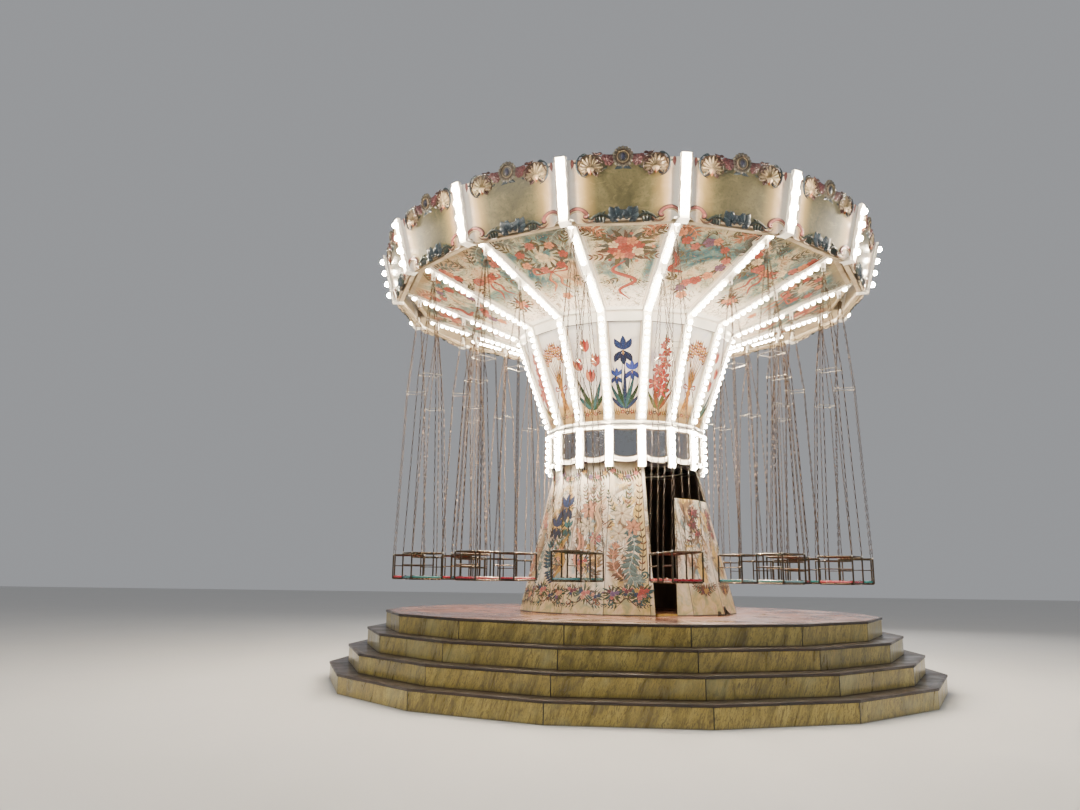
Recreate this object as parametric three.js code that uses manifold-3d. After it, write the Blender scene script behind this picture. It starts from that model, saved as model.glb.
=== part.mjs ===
// Fairground chair swing carousel with sixteen sides, in millimetres, +Z up.
// The origin is on the ground at the centre of the platform. The doorway of the tower faces -Y.
// An angle is measured from -Y towards +X, and corner k of the ride is at (k + 1/2) sectors.
import * as THREE from "three";
import { mergeVertices } from "three/addons/utils/BufferGeometryUtils.js";
import Module from "manifold-3d";

const wasm = await Module();
wasm.setup();

// Division of the ride. Radii are measured to the corners of the sixteen-sided rings.
// FIT parts two solids that touch, LAP is how far joined pieces run into each other,
// and PANEL_JOINT is half the angle of the joint between two groups of tower panels.
const SECTORS = 16;
const SECTOR = (2 * Math.PI) / SECTORS;
const TO_FLAT = Math.cos(SECTOR / 2);
const FIT = 0.3;
const CORNER_FIT = FIT + 0.2;
const LAP = 10;
const PANEL_JOINT = 0.00016;

// Platform: four steps, each a riser with a tread that rests on an inner board. The deck is the fourth tread.
const STEP_COUNT = 4;
const STEP_RISE = 220;
const STEP_GOING = 233;
const STEP_RADIUS = 3940;
const STEP_NOSING = 12;
const TREAD = 30;
const RISER = 22;
const TREAD_UNDER_NEXT = 60;
const DECK_TOP = STEP_COUNT * STEP_RISE;
const DECK_HOLE = 150;

// Steel frame under the deck
const BEAMS = 4;
const BEAM = { width: 60, height: 140, from: 180, to: 3190 };
const LEG_WIDTH = 80;
const LEG_PLACES = [1420, 3060];
const SLEEVE = { inner: 130.4, outer: 240 };

// Tower: a hollow booth of painted panels on the deck
const TOWER = { foot: 1467, head: 1000, top: 2800, wall: 30 };
const DOOR_STRIP = 2.35;
const DOOR_RIGHT = { foot: 609, head: 617 };
const HALF_PANEL_TOP = 2344;
const HEAD_RING = { depth: 70, height: 26 };
const THRESHOLD = { length: 250, width: 70, height: 25, radius: 1400, sector: 0.98, share: 0.2 };

// Mast with the slewing seat and its pivot pin
const MAST = { radius: 130, top: 3250, flange: 250, flangeHeight: 32 };
const PIN = { radius: 60, top: 3700, play: 3, room: 20 };
const ROUND = 16;

// Drum at the foot of the rotor
const DRUM = { radius: 1090, bottom: 2733, top: 3234, ribWidth: 110 };
const MIRROR = { radius: 1062, bottom: 2838, thickness: 12 };
const SCALLOP = { depth: 25, side: 2885, middle: 2850, height: 54, steps: 4 };
const MOULDING = { inner: 1030, outer: 1106, height: 106, chamfer: 14 };

// Cone between the drum and the kink, and the canopy between the kink and the outer rail
const CONE_FOOT = DRUM.top + MOULDING.height;
const KINK = { radius: 1547, z: 4664, ring: 104, face: 5, depth: 50, back: 70 };
const RAIL = { radius: 3137, z: 5266, width: 52, height: 64 };
const LIGHT_RIB = { width: 130, proud: 28 };
const CONE_RIB_WIDTH = 122;
const SHEET = 14;
const BEHIND_FACE = 4;

// Hanging points of the chairs, two under each canopy rib
const HOOKS = { outer: { radius: 2974, z: 5129 }, inner: { radius: 2337, z: 4878 } };
const EYE = { width: 50, thickness: 12, below: 30, hole: 9.7, sides: 6 };

// Crown band, leaning outwards, with its crest and its hanging lower edge
const CROWN = { bottom: 3330, foot: 5181, top: 3479, head: 5805, board: 20 };
const CROWN_RIB = { width: 130, proud: 38, above: 25, toe: 40 };
const CROWN_POST = { width: 60, depth: 37, back: 3255, belowHead: 15 };
const BASE_RING = { inner: 3215, outer: 3272 };
const CREST = {
  medallion: { height: 130, half: 100, topHalf: 45 },
  rose: { height: 50, half: 218, topHalf: 203 },
  shell: { height: 54, from: 262, topFrom: 282, topTo: 430, to: 470 },
  notch: { height: 8, across: 240 },
};
const HANGING = { depth: 50, slopeIn: 40, slopeOut: 30, lift: 8, curls: [[190, 330], [370, 540]], end: 560 };

// Steel frame of the rotor
const HUB = { radius: 150, top: 5440, kingPost: 60 };
const BOOM = { width: 50, top: 5440, bar: 60, strut: 1500, holeEnd: 2880 };
const SPOKE = { width: 60, height: 50, to: 1023 };

// Roof
const ROOF = { eave: 5520, apex: 6050, sheet: 20, overPost: 14 };

// Chairs
const SEAT = { top: 1320, width: 420, depth: 340, board: 26, arm: 285, tube: 24 };
const HOOP = { z: 3830, halfWidth: 120, halfDepth: 92, wire: 7 };
const CHAIN = { radius: 6, sides: 3, topX: 6, topY: 10 };
const SHACKLE = { pin: 8, cheek: 8, gap: 9, width: 24, above: 12, drop: 62, bridge: 18 };

const crownLean = (CROWN.top - CROWN.bottom) / (CROWN.head - CROWN.foot);
const canopySlope = (RAIL.z - KINK.z) / (RAIL.radius - KINK.radius);
const canopyTilt = Math.hypot(1, canopySlope);
const coneSlope = (KINK.radius - DRUM.radius) / (KINK.z - CONE_FOOT);

// Closed mesh with shared vertices, as a solid that can be joined and cut
function toSolid(geometry) {
  const loose = geometry.index ? geometry.toNonIndexed() : geometry;
  const bare = new THREE.BufferGeometry();
  bare.setAttribute("position", loose.getAttribute("position"));
  const merged = mergeVertices(bare, 1e-3);
  const mesh = new wasm.Mesh({
    numProp: 3,
    vertProperties: merged.attributes.position.array,
    triVerts: new Uint32Array(merged.index.array),
  });
  return new wasm.Manifold(mesh);
}

function toGeometry(made) {
  const { vertProperties, triVerts } = made.getMesh();
  const geometry = new THREE.BufferGeometry();
  geometry.setAttribute("position", new THREE.BufferAttribute(vertProperties, 3));
  geometry.setIndex(new THREE.BufferAttribute(triVerts, 1));
  return geometry;
}

function join(geometries) {
  return toGeometry(geometries.map(toSolid).reduce((whole, next) => whole.add(next)));
}

function cut(geometry, tools) {
  return toGeometry(tools.map(toSolid).reduce((rest, tool) => rest.subtract(tool), toSolid(geometry)));
}

function common(geometries) {
  return toGeometry(geometries.map(toSolid).reduce((shared, next) => shared.intersect(next)));
}

// Ring turned from a closed outline of [radius, z] points, which run up on the outside
function turned(outline, sides = SECTORS) {
  const points = [...outline, outline[0]].map(([radius, z]) => new THREE.Vector2(radius, z));
  return new THREE.LatheGeometry(points, sides, Math.PI / sides, 2 * Math.PI).rotateX(Math.PI / 2);
}

// Flat plate in a radial plane, from an outline of [radius, z] points and its holes
function radialPlate(outline, width, holes = []) {
  const toPath = (points) => points.map(([radius, z]) => new THREE.Vector2(radius, z));
  const shape = new THREE.Shape(toPath(outline));
  shape.holes = holes.map((hole) => new THREE.Path(toPath(hole)));
  const geometry = new THREE.ExtrudeGeometry(shape, { depth: width, bevelEnabled: false });
  return geometry.rotateX(Math.PI / 2).translate(0, width / 2, 0);
}

// Turns a piece made along +X to an angle of the ride
function turnTo(geometry, angle) {
  return geometry.clone().rotateZ(angle - Math.PI / 2);
}

function atCorners(geometry, count = SECTORS) {
  const step = (2 * Math.PI) / count;
  return Array.from({ length: count }, (_, k) => turnTo(geometry, SECTOR / 2 + k * step));
}

function atFlats(geometry) {
  return Array.from({ length: SECTORS }, (_, k) => turnTo(geometry, k * SECTOR));
}

// Board in the plane of one flat, made along +X: across, up the slope, and thickness inwards
function flatBoard(shape, thickness, distance, foot, lean) {
  const geometry = new THREE.ExtrudeGeometry(shape, { depth: thickness, bevelEnabled: false });
  const length = Math.hypot(1, lean);
  const across = new THREE.Vector3(0, 1, 0);
  const up = new THREE.Vector3(lean / length, 0, 1 / length);
  const outward = new THREE.Vector3().crossVectors(across, up);
  const basis = new THREE.Matrix4().makeBasis(across, up, outward);
  const back = outward.clone().multiplyScalar(-thickness);
  geometry.applyMatrix4(basis);
  return geometry.translate(distance + back.x, back.y, foot + back.z);
}

function box(sizes, centre) {
  return new THREE.BoxGeometry(...sizes).translate(...centre);
}

// Straight prism with a regular section, from one point to another
function rod(from, to, radius, sides) {
  const start = new THREE.Vector3(...from);
  const along = new THREE.Vector3(...to).sub(start);
  const corners = Array.from({ length: sides }, (_, k) => {
    const angle = (2 * Math.PI * (k + 0.5)) / sides;
    return new THREE.Vector2(radius * Math.cos(angle), radius * Math.sin(angle));
  });
  const turn = new THREE.Quaternion().setFromUnitVectors(
    new THREE.Vector3(0, 0, 1),
    along.clone().normalize(),
  );
  return new THREE.ExtrudeGeometry(new THREE.Shape(corners), { depth: along.length(), bevelEnabled: false })
    .applyQuaternion(turn)
    .translate(start.x, start.y, start.z);
}

// Upright chain as a prism whose level sections follow a line of points, from the top down
function chainRun(points) {
  const { radius, sides } = CHAIN;
  const positions = [];
  for (const [x, y, z] of points) {
    for (let k = 0; k < sides; k += 1) {
      const angle = (2 * Math.PI * k) / sides;
      positions.push(x + radius * Math.cos(angle), y + radius * Math.sin(angle), z);
    }
  }
  const faces = [];
  for (let row = 0; row + 1 < points.length; row += 1) {
    for (let k = 0; k < sides; k += 1) {
      const near = row * sides + k;
      const next = row * sides + ((k + 1) % sides);
      faces.push(near, near + sides, next, next, near + sides, next + sides);
    }
  }
  const last = positions.length / 3 - sides;
  for (let k = 1; k + 1 < sides; k += 1) {
    faces.push(0, k, k + 1, last, last + k + 1, last + k);
  }
  const geometry = new THREE.BufferGeometry();
  geometry.setAttribute("position", new THREE.Float32BufferAttribute(positions, 3));
  return geometry.setIndex(faces);
}

// Four-sided frame of wire that spreads the chains of a chair
function wireFrame(z) {
  const { halfWidth, halfDepth, wire } = HOOP;
  const square = new THREE.TorusGeometry(Math.SQRT2, wire / halfWidth, 3, 4).rotateZ(Math.PI / 4);
  return square.scale(halfWidth, halfDepth, halfWidth).translate(0, 0, z);
}

// Upright prism over the part of the ride between two angles
function wedge(from, to, bottom, top) {
  const reach = 4000;
  const shape = new THREE.Shape();
  shape.moveTo(0, 0);
  const steps = Math.ceil((to - from) / SECTOR);
  for (let k = 0; k <= steps; k += 1) {
    const angle = from + ((to - from) * k) / steps;
    shape.lineTo(reach * Math.sin(angle), -reach * Math.cos(angle));
  }
  const depth = top - bottom;
  return new THREE.ExtrudeGeometry(shape, { depth, bevelEnabled: false }).translate(0, 0, bottom);
}

function stepRadius(index) {
  return STEP_RADIUS - STEP_GOING * index;
}

function stepRing(index) {
  const radius = stepRadius(index);
  const inner = stepRadius(index + 1) - TREAD_UNDER_NEXT;
  const foot = STEP_RISE * index + (index > 0 ? FIT : 0);
  const top = STEP_RISE * (index + 1);
  const under = top - TREAD;
  return turned([
    [radius, foot],
    [radius, under],
    [radius + STEP_NOSING, under],
    [radius + STEP_NOSING, top],
    [inner, top],
    [inner, 0],
    [inner + RISER, 0],
    [inner + RISER, under],
    [radius - RISER, under],
    [radius - RISER, foot],
  ]);
}

function deck() {
  const outer = stepRadius(STEP_COUNT - 1) + STEP_NOSING;
  const under = DECK_TOP - TREAD;
  return turned([
    [outer, under],
    [outer, DECK_TOP],
    [DECK_HOLE, DECK_TOP],
    [DECK_HOLE, under],
  ]);
}

// Upright boards of the fourth step, which stand on the third and carry the edge of the deck
function deckRiser() {
  const radius = stepRadius(STEP_COUNT - 1);
  const foot = DECK_TOP - STEP_RISE + FIT;
  const top = DECK_TOP - TREAD - FIT;
  return turned([
    [radius, foot],
    [radius, top],
    [radius - RISER, top],
    [radius - RISER, foot],
  ]);
}

function baseFrame() {
  const top = DECK_TOP - TREAD - FIT;
  const length = BEAM.to - BEAM.from;
  const beam = box([length, BEAM.width, BEAM.height], [BEAM.from + length / 2, 0, top - BEAM.height / 2]);
  const legHeight = top - BEAM.height / 2;
  const legs = LEG_PLACES.map((radius) =>
    box([LEG_WIDTH, LEG_WIDTH, legHeight], [radius, 0, legHeight / 2]),
  );
  const sleeve = turned([
    [SLEEVE.outer, 0],
    [SLEEVE.outer, top],
    [SLEEVE.inner, top],
    [SLEEVE.inner, 0],
  ]);
  return join([sleeve, ...atCorners(join([beam, ...legs]), BEAMS)]);
}

function towerRadius(z) {
  return TOWER.foot + ((TOWER.head - TOWER.foot) * (z - DECK_TOP)) / (TOWER.top - DECK_TOP);
}

function towerShell(top) {
  const foot = DECK_TOP + FIT;
  return turned([
    [towerRadius(foot), foot],
    [towerRadius(top), top],
    [towerRadius(top) - TOWER.wall, top],
    [towerRadius(foot) - TOWER.wall, foot],
  ]);
}

// Tower panels from one corner to another, with a hair of a joint at both ends
function towerPanels(fromCorner, toCorner, extra = 0) {
  const from = (fromCorner + 0.5) * SECTOR + PANEL_JOINT;
  const to = (toCorner + 0.5) * SECTOR - PANEL_JOINT + extra;
  return common([towerShell(TOWER.top), wedge(from, to, 0, TOWER.top + LAP)]);
}

// Half-height panel beside the doorway, whose free edge stands upright
function halfPanel() {
  const round = wedge(0.5 * SECTOR, 3.5 * SECTOR - PANEL_JOINT, 0, HALF_PANEL_TOP + LAP);
  const height = HALF_PANEL_TOP - DECK_TOP;
  const reach = 2000;
  const lean = Math.atan2(DOOR_RIGHT.head - DOOR_RIGHT.foot, height);
  const keep = box([reach, 2 * reach, 2 * reach], [reach / 2, 0, 0])
    .rotateY(lean)
    .translate(DOOR_RIGHT.foot, 0, DECK_TOP);
  return common([towerShell(HALF_PANEL_TOP), round, keep]);
}

function towerHeadRing() {
  const bottom = TOWER.top - HEAD_RING.height;
  const inside = TOWER.wall + CORNER_FIT;
  const inner = towerRadius(TOWER.top) - TOWER.wall - HEAD_RING.depth;
  return turned([
    [towerRadius(bottom) - inside, bottom],
    [towerRadius(TOWER.top) - inside, TOWER.top],
    [inner, TOWER.top],
    [inner, bottom],
  ]);
}

function threshold() {
  const { length, width, height, radius, sector, share } = THRESHOLD;
  const bar = box([width, length, height], [radius, -share * length, DECK_TOP + FIT + height / 2]);
  return turnTo(bar, sector * SECTOR);
}

function mast() {
  const seat = MAST.top - MAST.flangeHeight;
  return turned(
    [
      [0, 0],
      [MAST.radius, 0],
      [MAST.radius, seat],
      [MAST.flange, seat],
      [MAST.flange, MAST.top],
      [PIN.radius, MAST.top],
      [PIN.radius, PIN.top],
      [0, PIN.top],
    ],
    ROUND,
  );
}

// Curved board under each mirror, the same height all along
function scallopShape() {
  const half = DRUM.radius * Math.sin(SECTOR / 2) - DRUM.ribWidth / 2 + LAP;
  const drop = SCALLOP.side - SCALLOP.middle;
  const level = (across) => SCALLOP.middle + drop * (across / half) ** 2 - DRUM.bottom;
  const upper = [];
  for (let k = 0; k <= SCALLOP.steps; k += 1) {
    const across = half - (2 * half * k) / SCALLOP.steps;
    upper.push(new THREE.Vector2(across, level(across)));
  }
  const lower = upper.map((point) => new THREE.Vector2(point.x, point.y - SCALLOP.height)).reverse();
  return new THREE.Shape([...upper, ...lower]);
}

function drumFrame() {
  const back = MIRROR.radius + CORNER_FIT;
  const rib = radialPlate(
    [
      [back, DRUM.bottom],
      [DRUM.radius, DRUM.bottom],
      [DRUM.radius, DRUM.top + LAP],
      [back, DRUM.top + LAP],
    ],
    DRUM.ribWidth,
  );
  const boardFace = MIRROR.radius * TO_FLAT + FIT + SCALLOP.depth;
  const board = flatBoard(scallopShape(), SCALLOP.depth, boardFace, DRUM.bottom, 0);
  const moulding = turned([
    [MOULDING.inner, DRUM.top],
    [MOULDING.outer - MOULDING.chamfer, DRUM.top],
    [MOULDING.outer, DRUM.top + 2 * MOULDING.chamfer],
    [MOULDING.outer, CONE_FOOT - 2 * MOULDING.chamfer],
    [MOULDING.outer - MOULDING.chamfer, CONE_FOOT],
    [MOULDING.inner, CONE_FOOT],
  ]);
  return join([moulding, ...atCorners(rib), ...atFlats(board)]);
}

function drumMirrors() {
  return turned([
    [MIRROR.radius, MIRROR.bottom],
    [MIRROR.radius, DRUM.top - FIT],
    [MIRROR.radius - MIRROR.thickness, DRUM.top - FIT],
    [MIRROR.radius - MIRROR.thickness, MIRROR.bottom],
  ]);
}

// Corner radius of the light ribs on the cone at a height
function coneRadius(z) {
  return DRUM.radius + coneSlope * (z - CONE_FOOT);
}

// Underside of the canopy sheets at a radius, above the face of the light ribs
function canopySheetZ(radius) {
  return KINK.z + LIGHT_RIB.proud * canopyTilt + canopySlope * (radius - KINK.radius);
}

const kinkFace = KINK.radius - KINK.face;
const sheetStart = kinkFace - KINK.back;
const sheetEnd = RAIL.radius - RAIL.width - FIT;

function coneFrame() {
  const foot = CONE_FOOT + FIT;
  const back = LIGHT_RIB.proud - CORNER_FIT;
  const rib = radialPlate(
    [
      [coneRadius(foot) - back, foot],
      [coneRadius(foot), foot],
      [kinkFace - 1, KINK.z],
      [coneRadius(KINK.z) - back, KINK.z],
    ],
    CONE_RIB_WIDTH,
  );
  const bottom = KINK.z - KINK.ring;
  const ring = turned([
    [coneRadius(bottom) - LAP - KINK.depth, bottom],
    [coneRadius(bottom) - LAP, bottom],
    [kinkFace, KINK.z + BEHIND_FACE],
    [kinkFace, canopySheetZ(kinkFace) - FIT],
    [sheetStart, canopySheetZ(sheetStart) - FIT],
  ]);
  return join([ring, ...atCorners(rib)]);
}

function conePanels() {
  const foot = CONE_FOOT + FIT;
  const top = KINK.z - KINK.ring - FIT;
  return turned([
    [coneRadius(foot) - LIGHT_RIB.proud, foot],
    [coneRadius(top) - LIGHT_RIB.proud, top],
    [coneRadius(top) - LIGHT_RIB.proud - SHEET, top],
    [coneRadius(foot) - LIGHT_RIB.proud - SHEET, foot],
  ]);
}


function canopySheets() {
  return turned([
    [sheetStart, canopySheetZ(sheetStart)],
    [sheetEnd, canopySheetZ(sheetEnd)],
    [sheetEnd, canopySheetZ(sheetEnd) + SHEET],
    [sheetStart, canopySheetZ(sheetStart) + SHEET],
  ]);
}

// Eye plate under a rib, bored across for the pin of a shackle
function eyePlate(hook) {
  const top = canopySheetZ(hook.radius) - LIGHT_RIB.proud;
  const half = EYE.width / 2;
  const hole = Array.from({ length: EYE.sides }, (_, k) => {
    const turn = (2 * Math.PI * k) / EYE.sides;
    return [hook.radius + EYE.hole * Math.cos(turn), hook.z + EYE.hole * Math.sin(turn)];
  });
  const outline = [
    [hook.radius - half, hook.z - EYE.below],
    [hook.radius + half, hook.z - EYE.below],
    [hook.radius + half, top],
    [hook.radius - half, top],
  ];
  return radialPlate(outline, EYE.thickness, [hole]);
}

function canopyFrame() {
  const ribLine = (radius) => KINK.z + canopySlope * (radius - KINK.radius);
  const start = kinkFace + FIT;
  const end = RAIL.radius - BEHIND_FACE;
  const rib = radialPlate(
    [
      [start, ribLine(start)],
      [end, ribLine(end)],
      [sheetEnd, canopySheetZ(sheetEnd) - FIT],
      [start, canopySheetZ(start) - FIT],
    ],
    LIGHT_RIB.width,
  );
  const rail = turned([
    [RAIL.radius - RAIL.width, ribLine(RAIL.radius - RAIL.width) + BEHIND_FACE],
    [RAIL.radius, RAIL.z + BEHIND_FACE],
    [RAIL.radius, RAIL.z + RAIL.height],
    [RAIL.radius - RAIL.width, RAIL.z + RAIL.height],
  ]);
  const spoke = join([rib, eyePlate(HOOKS.outer), eyePlate(HOOKS.inner)]);
  return join([rail, ...atCorners(spoke)]);
}

// Outline of one crown board, from its straight corners to the crest and the hanging edge
function crownShape() {
  const length = Math.hypot(CROWN.head - CROWN.foot, (CROWN.top - CROWN.bottom) * TO_FLAT);
  const bottomHalf = CROWN.bottom * Math.sin(SECTOR / 2);
  const topHalf = CROWN.top * Math.sin(SECTOR / 2);
  const { medallion, rose, shell, notch } = CREST;
  const crest = [
    [shell.to, length],
    [shell.topTo, length + shell.height],
    [shell.topFrom, length + shell.height],
    [notch.across, length + notch.height],
    [rose.topHalf, length + rose.height],
    [medallion.half, length + rose.height],
    [medallion.topHalf, length + medallion.height],
  ];
  const hanging = [];
  for (const [from, to] of HANGING.curls) {
    const low = -HANGING.depth;
    hanging.push([from, -HANGING.lift], [from + HANGING.slopeIn, low], [to - HANGING.slopeOut, low]);
  }
  hanging.push([HANGING.end, 0]);
  const mirrored = (points) => points.map(([across, up]) => [-across, up]).reverse();
  const outline = [
    [bottomHalf, 0],
    [topHalf, length],
    ...crest,
    ...mirrored(crest),
    [-topHalf, length],
    [-bottomHalf, 0],
    ...mirrored(hanging),
    ...hanging,
  ];
  return new THREE.Shape(outline.map(([across, up]) => new THREE.Vector2(across, up)));
}

function crownBand() {
  const lean = crownLean * TO_FLAT;
  const board = flatBoard(crownShape(), CROWN.board, CROWN.bottom * TO_FLAT, CROWN.foot, lean);
  return join(atFlats(board));
}

// Crown frame: at each corner a fork holds the boards between a post and a light rib
function crownFrame() {
  const face = (z) => CROWN.bottom + crownLean * (z - CROWN.foot);
  const foot = CROWN.foot - CROWN_RIB.toe;
  const head = CROWN.head + CROWN_RIB.above;
  const seat = CROWN.foot - FIT;
  const play = FIT + CORNER_FIT;
  const rib = radialPlate(
    [
      [CROWN_POST.back, foot],
      [face(foot) + CROWN_RIB.proud, foot],
      [face(head) + CROWN_RIB.proud, head],
      [face(head) + play, head],
      [face(seat) + play, seat],
      [CROWN_POST.back, seat],
    ],
    CROWN_RIB.width,
  );
  const postTop = CROWN.head - CROWN_POST.belowHead;
  const postBack = (z) => CROWN_POST.back + crownLean * (z - foot);
  const post = radialPlate(
    [
      [postBack(foot), foot],
      [postBack(foot) + CROWN_POST.depth, foot],
      [postBack(postTop) + CROWN_POST.depth, postTop],
      [postBack(postTop), postTop],
    ],
    CROWN_POST.width,
  );
  const ring = turned([
    [BASE_RING.outer, foot],
    [BASE_RING.outer, seat],
    [BASE_RING.inner, seat],
    [BASE_RING.inner, foot],
  ]);
  return join([ring, ...atCorners(join([rib, post]))]);
}

// One boom: a triangular frame over the canopy sheets
function boom() {
  const foot = CROWN.foot - CROWN_RIB.toe;
  const postBack = (z) => CROWN_POST.back + crownLean * (z - foot) - FIT;
  const inset = Math.tan(SECTOR / 2) * (BOOM.width / 2);
  const fall = canopySlope * inset;
  const lower = (radius) => canopySheetZ(radius) + SHEET + fall + FIT;
  const railTop = RAIL.z + RAIL.height + FIT;
  const stepUp = sheetEnd - inset - FIT;
  const inside = HUB.radius - 4 * LAP;
  const outline = [
    [inside, lower(sheetStart) - BEHIND_FACE],
    [sheetStart, lower(sheetStart)],
    [stepUp, lower(stepUp)],
    [stepUp, railTop],
    [postBack(railTop), railTop],
    [postBack(BOOM.top), BOOM.top],
    [inside, BOOM.top],
  ];
  const upper = BOOM.top - BOOM.bar;
  const openFrom = HUB.radius + LAP;
  const opening = [
    [openFrom, lower(sheetStart) + BOOM.bar],
    [BOOM.strut, lower(sheetStart) + BOOM.bar],
    [BOOM.holeEnd, lower(BOOM.holeEnd) + BOOM.bar],
    [BOOM.holeEnd, upper],
    [openFrom, upper],
  ];
  return radialPlate(outline, BOOM.width, [opening]);
}

function rotorFrame() {
  const bore = PIN.radius + PIN.play;
  const foot = MAST.top + FIT;
  const postTop = ROOF.apex - ROOF.sheet - ROOF.overPost;
  const roomTop = PIN.top + PIN.room;
  const hub = turned(
    [
      [bore, foot],
      [MAST.flange, foot],
      [MAST.flange, foot + SPOKE.height],
      [HUB.radius, foot + SPOKE.height],
      [HUB.radius, HUB.top],
      [HUB.kingPost, HUB.top],
      [HUB.kingPost, postTop],
      [0, postTop],
      [0, roomTop],
      [bore, roomTop],
    ],
    ROUND,
  );
  const start = HUB.radius - 2 * LAP;
  const length = SPOKE.to - start;
  const middle = start + length / 2;
  const spoke = box([length, SPOKE.width, SPOKE.height], [middle, 0, foot + SPOKE.height / 2]);
  return join([hub, ...atCorners(spoke, BEAMS), ...atCorners(boom())]);
}

function roof() {
  const foot = CROWN.foot - CROWN_RIB.toe;
  const edge = (z) => CROWN_POST.back + crownLean * (z - foot) - FIT;
  const low = ROOF.eave - ROOF.sheet;
  return turned([
    [0, ROOF.apex - ROOF.sheet],
    [edge(low), low],
    [edge(ROOF.eave), ROOF.eave],
    [0, ROOF.apex],
  ]);
}

// Fork of the shackle that straddles an eye plate, in the plane across the swing
function shackleFork() {
  const inner = SHACKLE.gap;
  const outer = SHACKLE.gap + SHACKLE.cheek;
  const bottom = -SHACKLE.drop - SHACKLE.bridge;
  const outline = [
    [-outer, bottom],
    [outer, bottom],
    [outer, SHACKLE.above],
    [inner, SHACKLE.above],
    [inner, -SHACKLE.drop],
    [-inner, -SHACKLE.drop],
    [-inner, SHACKLE.above],
    [-outer, SHACKLE.above],
  ];
  const shape = new THREE.Shape(outline.map(([across, z]) => new THREE.Vector2(across, z)));
  const geometry = new THREE.ExtrudeGeometry(shape, { depth: SHACKLE.width, bevelEnabled: false });
  return geometry.translate(0, 0, -SHACKLE.width / 2).rotateX(Math.PI / 2).rotateZ(Math.PI / 2);
}

// Seat board with four posts and the rail round its top, open on all four sides
function basket(seatTop) {
  const { width, depth, board, arm, tube } = SEAT;
  const height = arm + board;
  const window = arm - tube;
  const block = box([width, depth, height], [0, 0, seatTop + arm - height / 2]);
  const well = box([width - 2 * tube, depth - 2 * tube, 2 * arm], [0, 0, seatTop + arm]);
  const across = box([2 * width, depth - 2 * tube, window], [0, 0, seatTop + window / 2]);
  const along = box([width - 2 * tube, 2 * depth, window], [0, 0, seatTop + window / 2]);
  return cut(block, [well, across, along]);
}

// One chair with its chains, from the pin at the origin down, facing +Y
function chair(hook) {
  const seatTop = SEAT.top - hook.z;
  const pinHalf = SHACKLE.gap + SHACKLE.cheek / 2;
  const chainPoints = [
    [CHAIN.topX, CHAIN.topY, -SHACKLE.drop - SHACKLE.bridge / 2],
    [HOOP.halfWidth, HOOP.halfDepth, HOOP.z - hook.z],
    [SEAT.width / 2 - SEAT.tube / 2, SEAT.depth / 2 - SEAT.tube / 2, seatTop + SEAT.arm - SEAT.tube / 2],
  ];
  const pieces = [
    rod([0, -pinHalf, 0], [0, pinHalf, 0], SHACKLE.pin, 6),
    shackleFork(),
    wireFrame(HOOP.z - hook.z),
    basket(seatTop),
  ];
  for (const side of [-1, 1]) {
    for (const front of [-1, 1]) {
      pieces.push(chainRun(chainPoints.map(([across, along, z]) => [side * across, front * along, z])));
    }
  }
  return join(pieces);
}

const group = new THREE.Group();
group.name = "chair_swing_carousel";

function paint(color, roughness, metalness) {
  return new THREE.MeshStandardMaterial({ color, roughness, metalness });
}

const steel = () => paint(0x54504a, 0.5, 0.7);
const marbled = () => paint(0xb3954f, 0.35, 0);
const cream = () => paint(0xe9dcc0, 0.45, 0);
const white = () => paint(0xf6f1e6, 0.4, 0);

function add(name, geometry, material) {
  const mesh = new THREE.Mesh(geometry, material);
  mesh.name = name;
  group.add(mesh);
  return mesh;
}

for (let k = 0; k < STEP_COUNT - 1; k += 1) {
  add(`step_${k + 1}`, stepRing(k), marbled());
}
add("deck_riser", deckRiser(), marbled());
add("platform_deck", deck(), paint(0x9a6650, 0.3, 0));
add("base_frame", baseFrame(), steel());
add("mast", mast(), steel());
add("tower_front_panels", towerPanels(-3, 0, THREE.MathUtils.degToRad(DOOR_STRIP)), cream());
add("tower_left_panels", towerPanels(-6, -3), cream());
add("tower_rear_panels", towerPanels(-9, -6), cream());
add("tower_right_panels", towerPanels(3, 7), cream());
add("tower_half_panel", halfPanel(), cream());
add("tower_head_ring", towerHeadRing(), steel());
add("door_threshold", threshold(), paint(0xc9a13a, 0.5, 0));
add("rotor_frame", rotorFrame(), steel());
add("drum_frame", drumFrame(), white());
add("drum_mirrors", drumMirrors(), paint(0x9aa3a6, 0.05, 1));
add("cone_frame", coneFrame(), white());
add("cone_panels", conePanels(), cream());
add("canopy_frame", canopyFrame(), white());
add("canopy_sheets", canopySheets(), paint(0xdfe6e2, 0.5, 0));
add("crown_band", crownBand(), paint(0xcfc294, 0.5, 0));
add("crown_frame", crownFrame(), white());
add("roof", roof(), paint(0xc9c2b4, 0.6, 0));

const SEAT_COLOURS = [0xb01828, 0x16625e];
for (const [row, hook] of Object.entries(HOOKS)) {
  const geometry = chair(hook);
  for (let k = 0; k < SECTORS; k += 1) {
    const angle = (k + 0.5) * SECTOR;
    const number = String(k + 1).padStart(2, "0");
    const mesh = add(`chair_${row}_${number}`, geometry, paint(SEAT_COLOURS[k % 2], 0.5, 0.2));
    mesh.position.set(hook.radius * Math.sin(angle), -hook.radius * Math.cos(angle), hook.z);
    mesh.rotation.z = angle - Math.PI / 2;
  }
}

export default group;
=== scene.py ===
import math

import bmesh
import bpy
import numpy as np
from mathutils import Matrix, Vector


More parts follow.
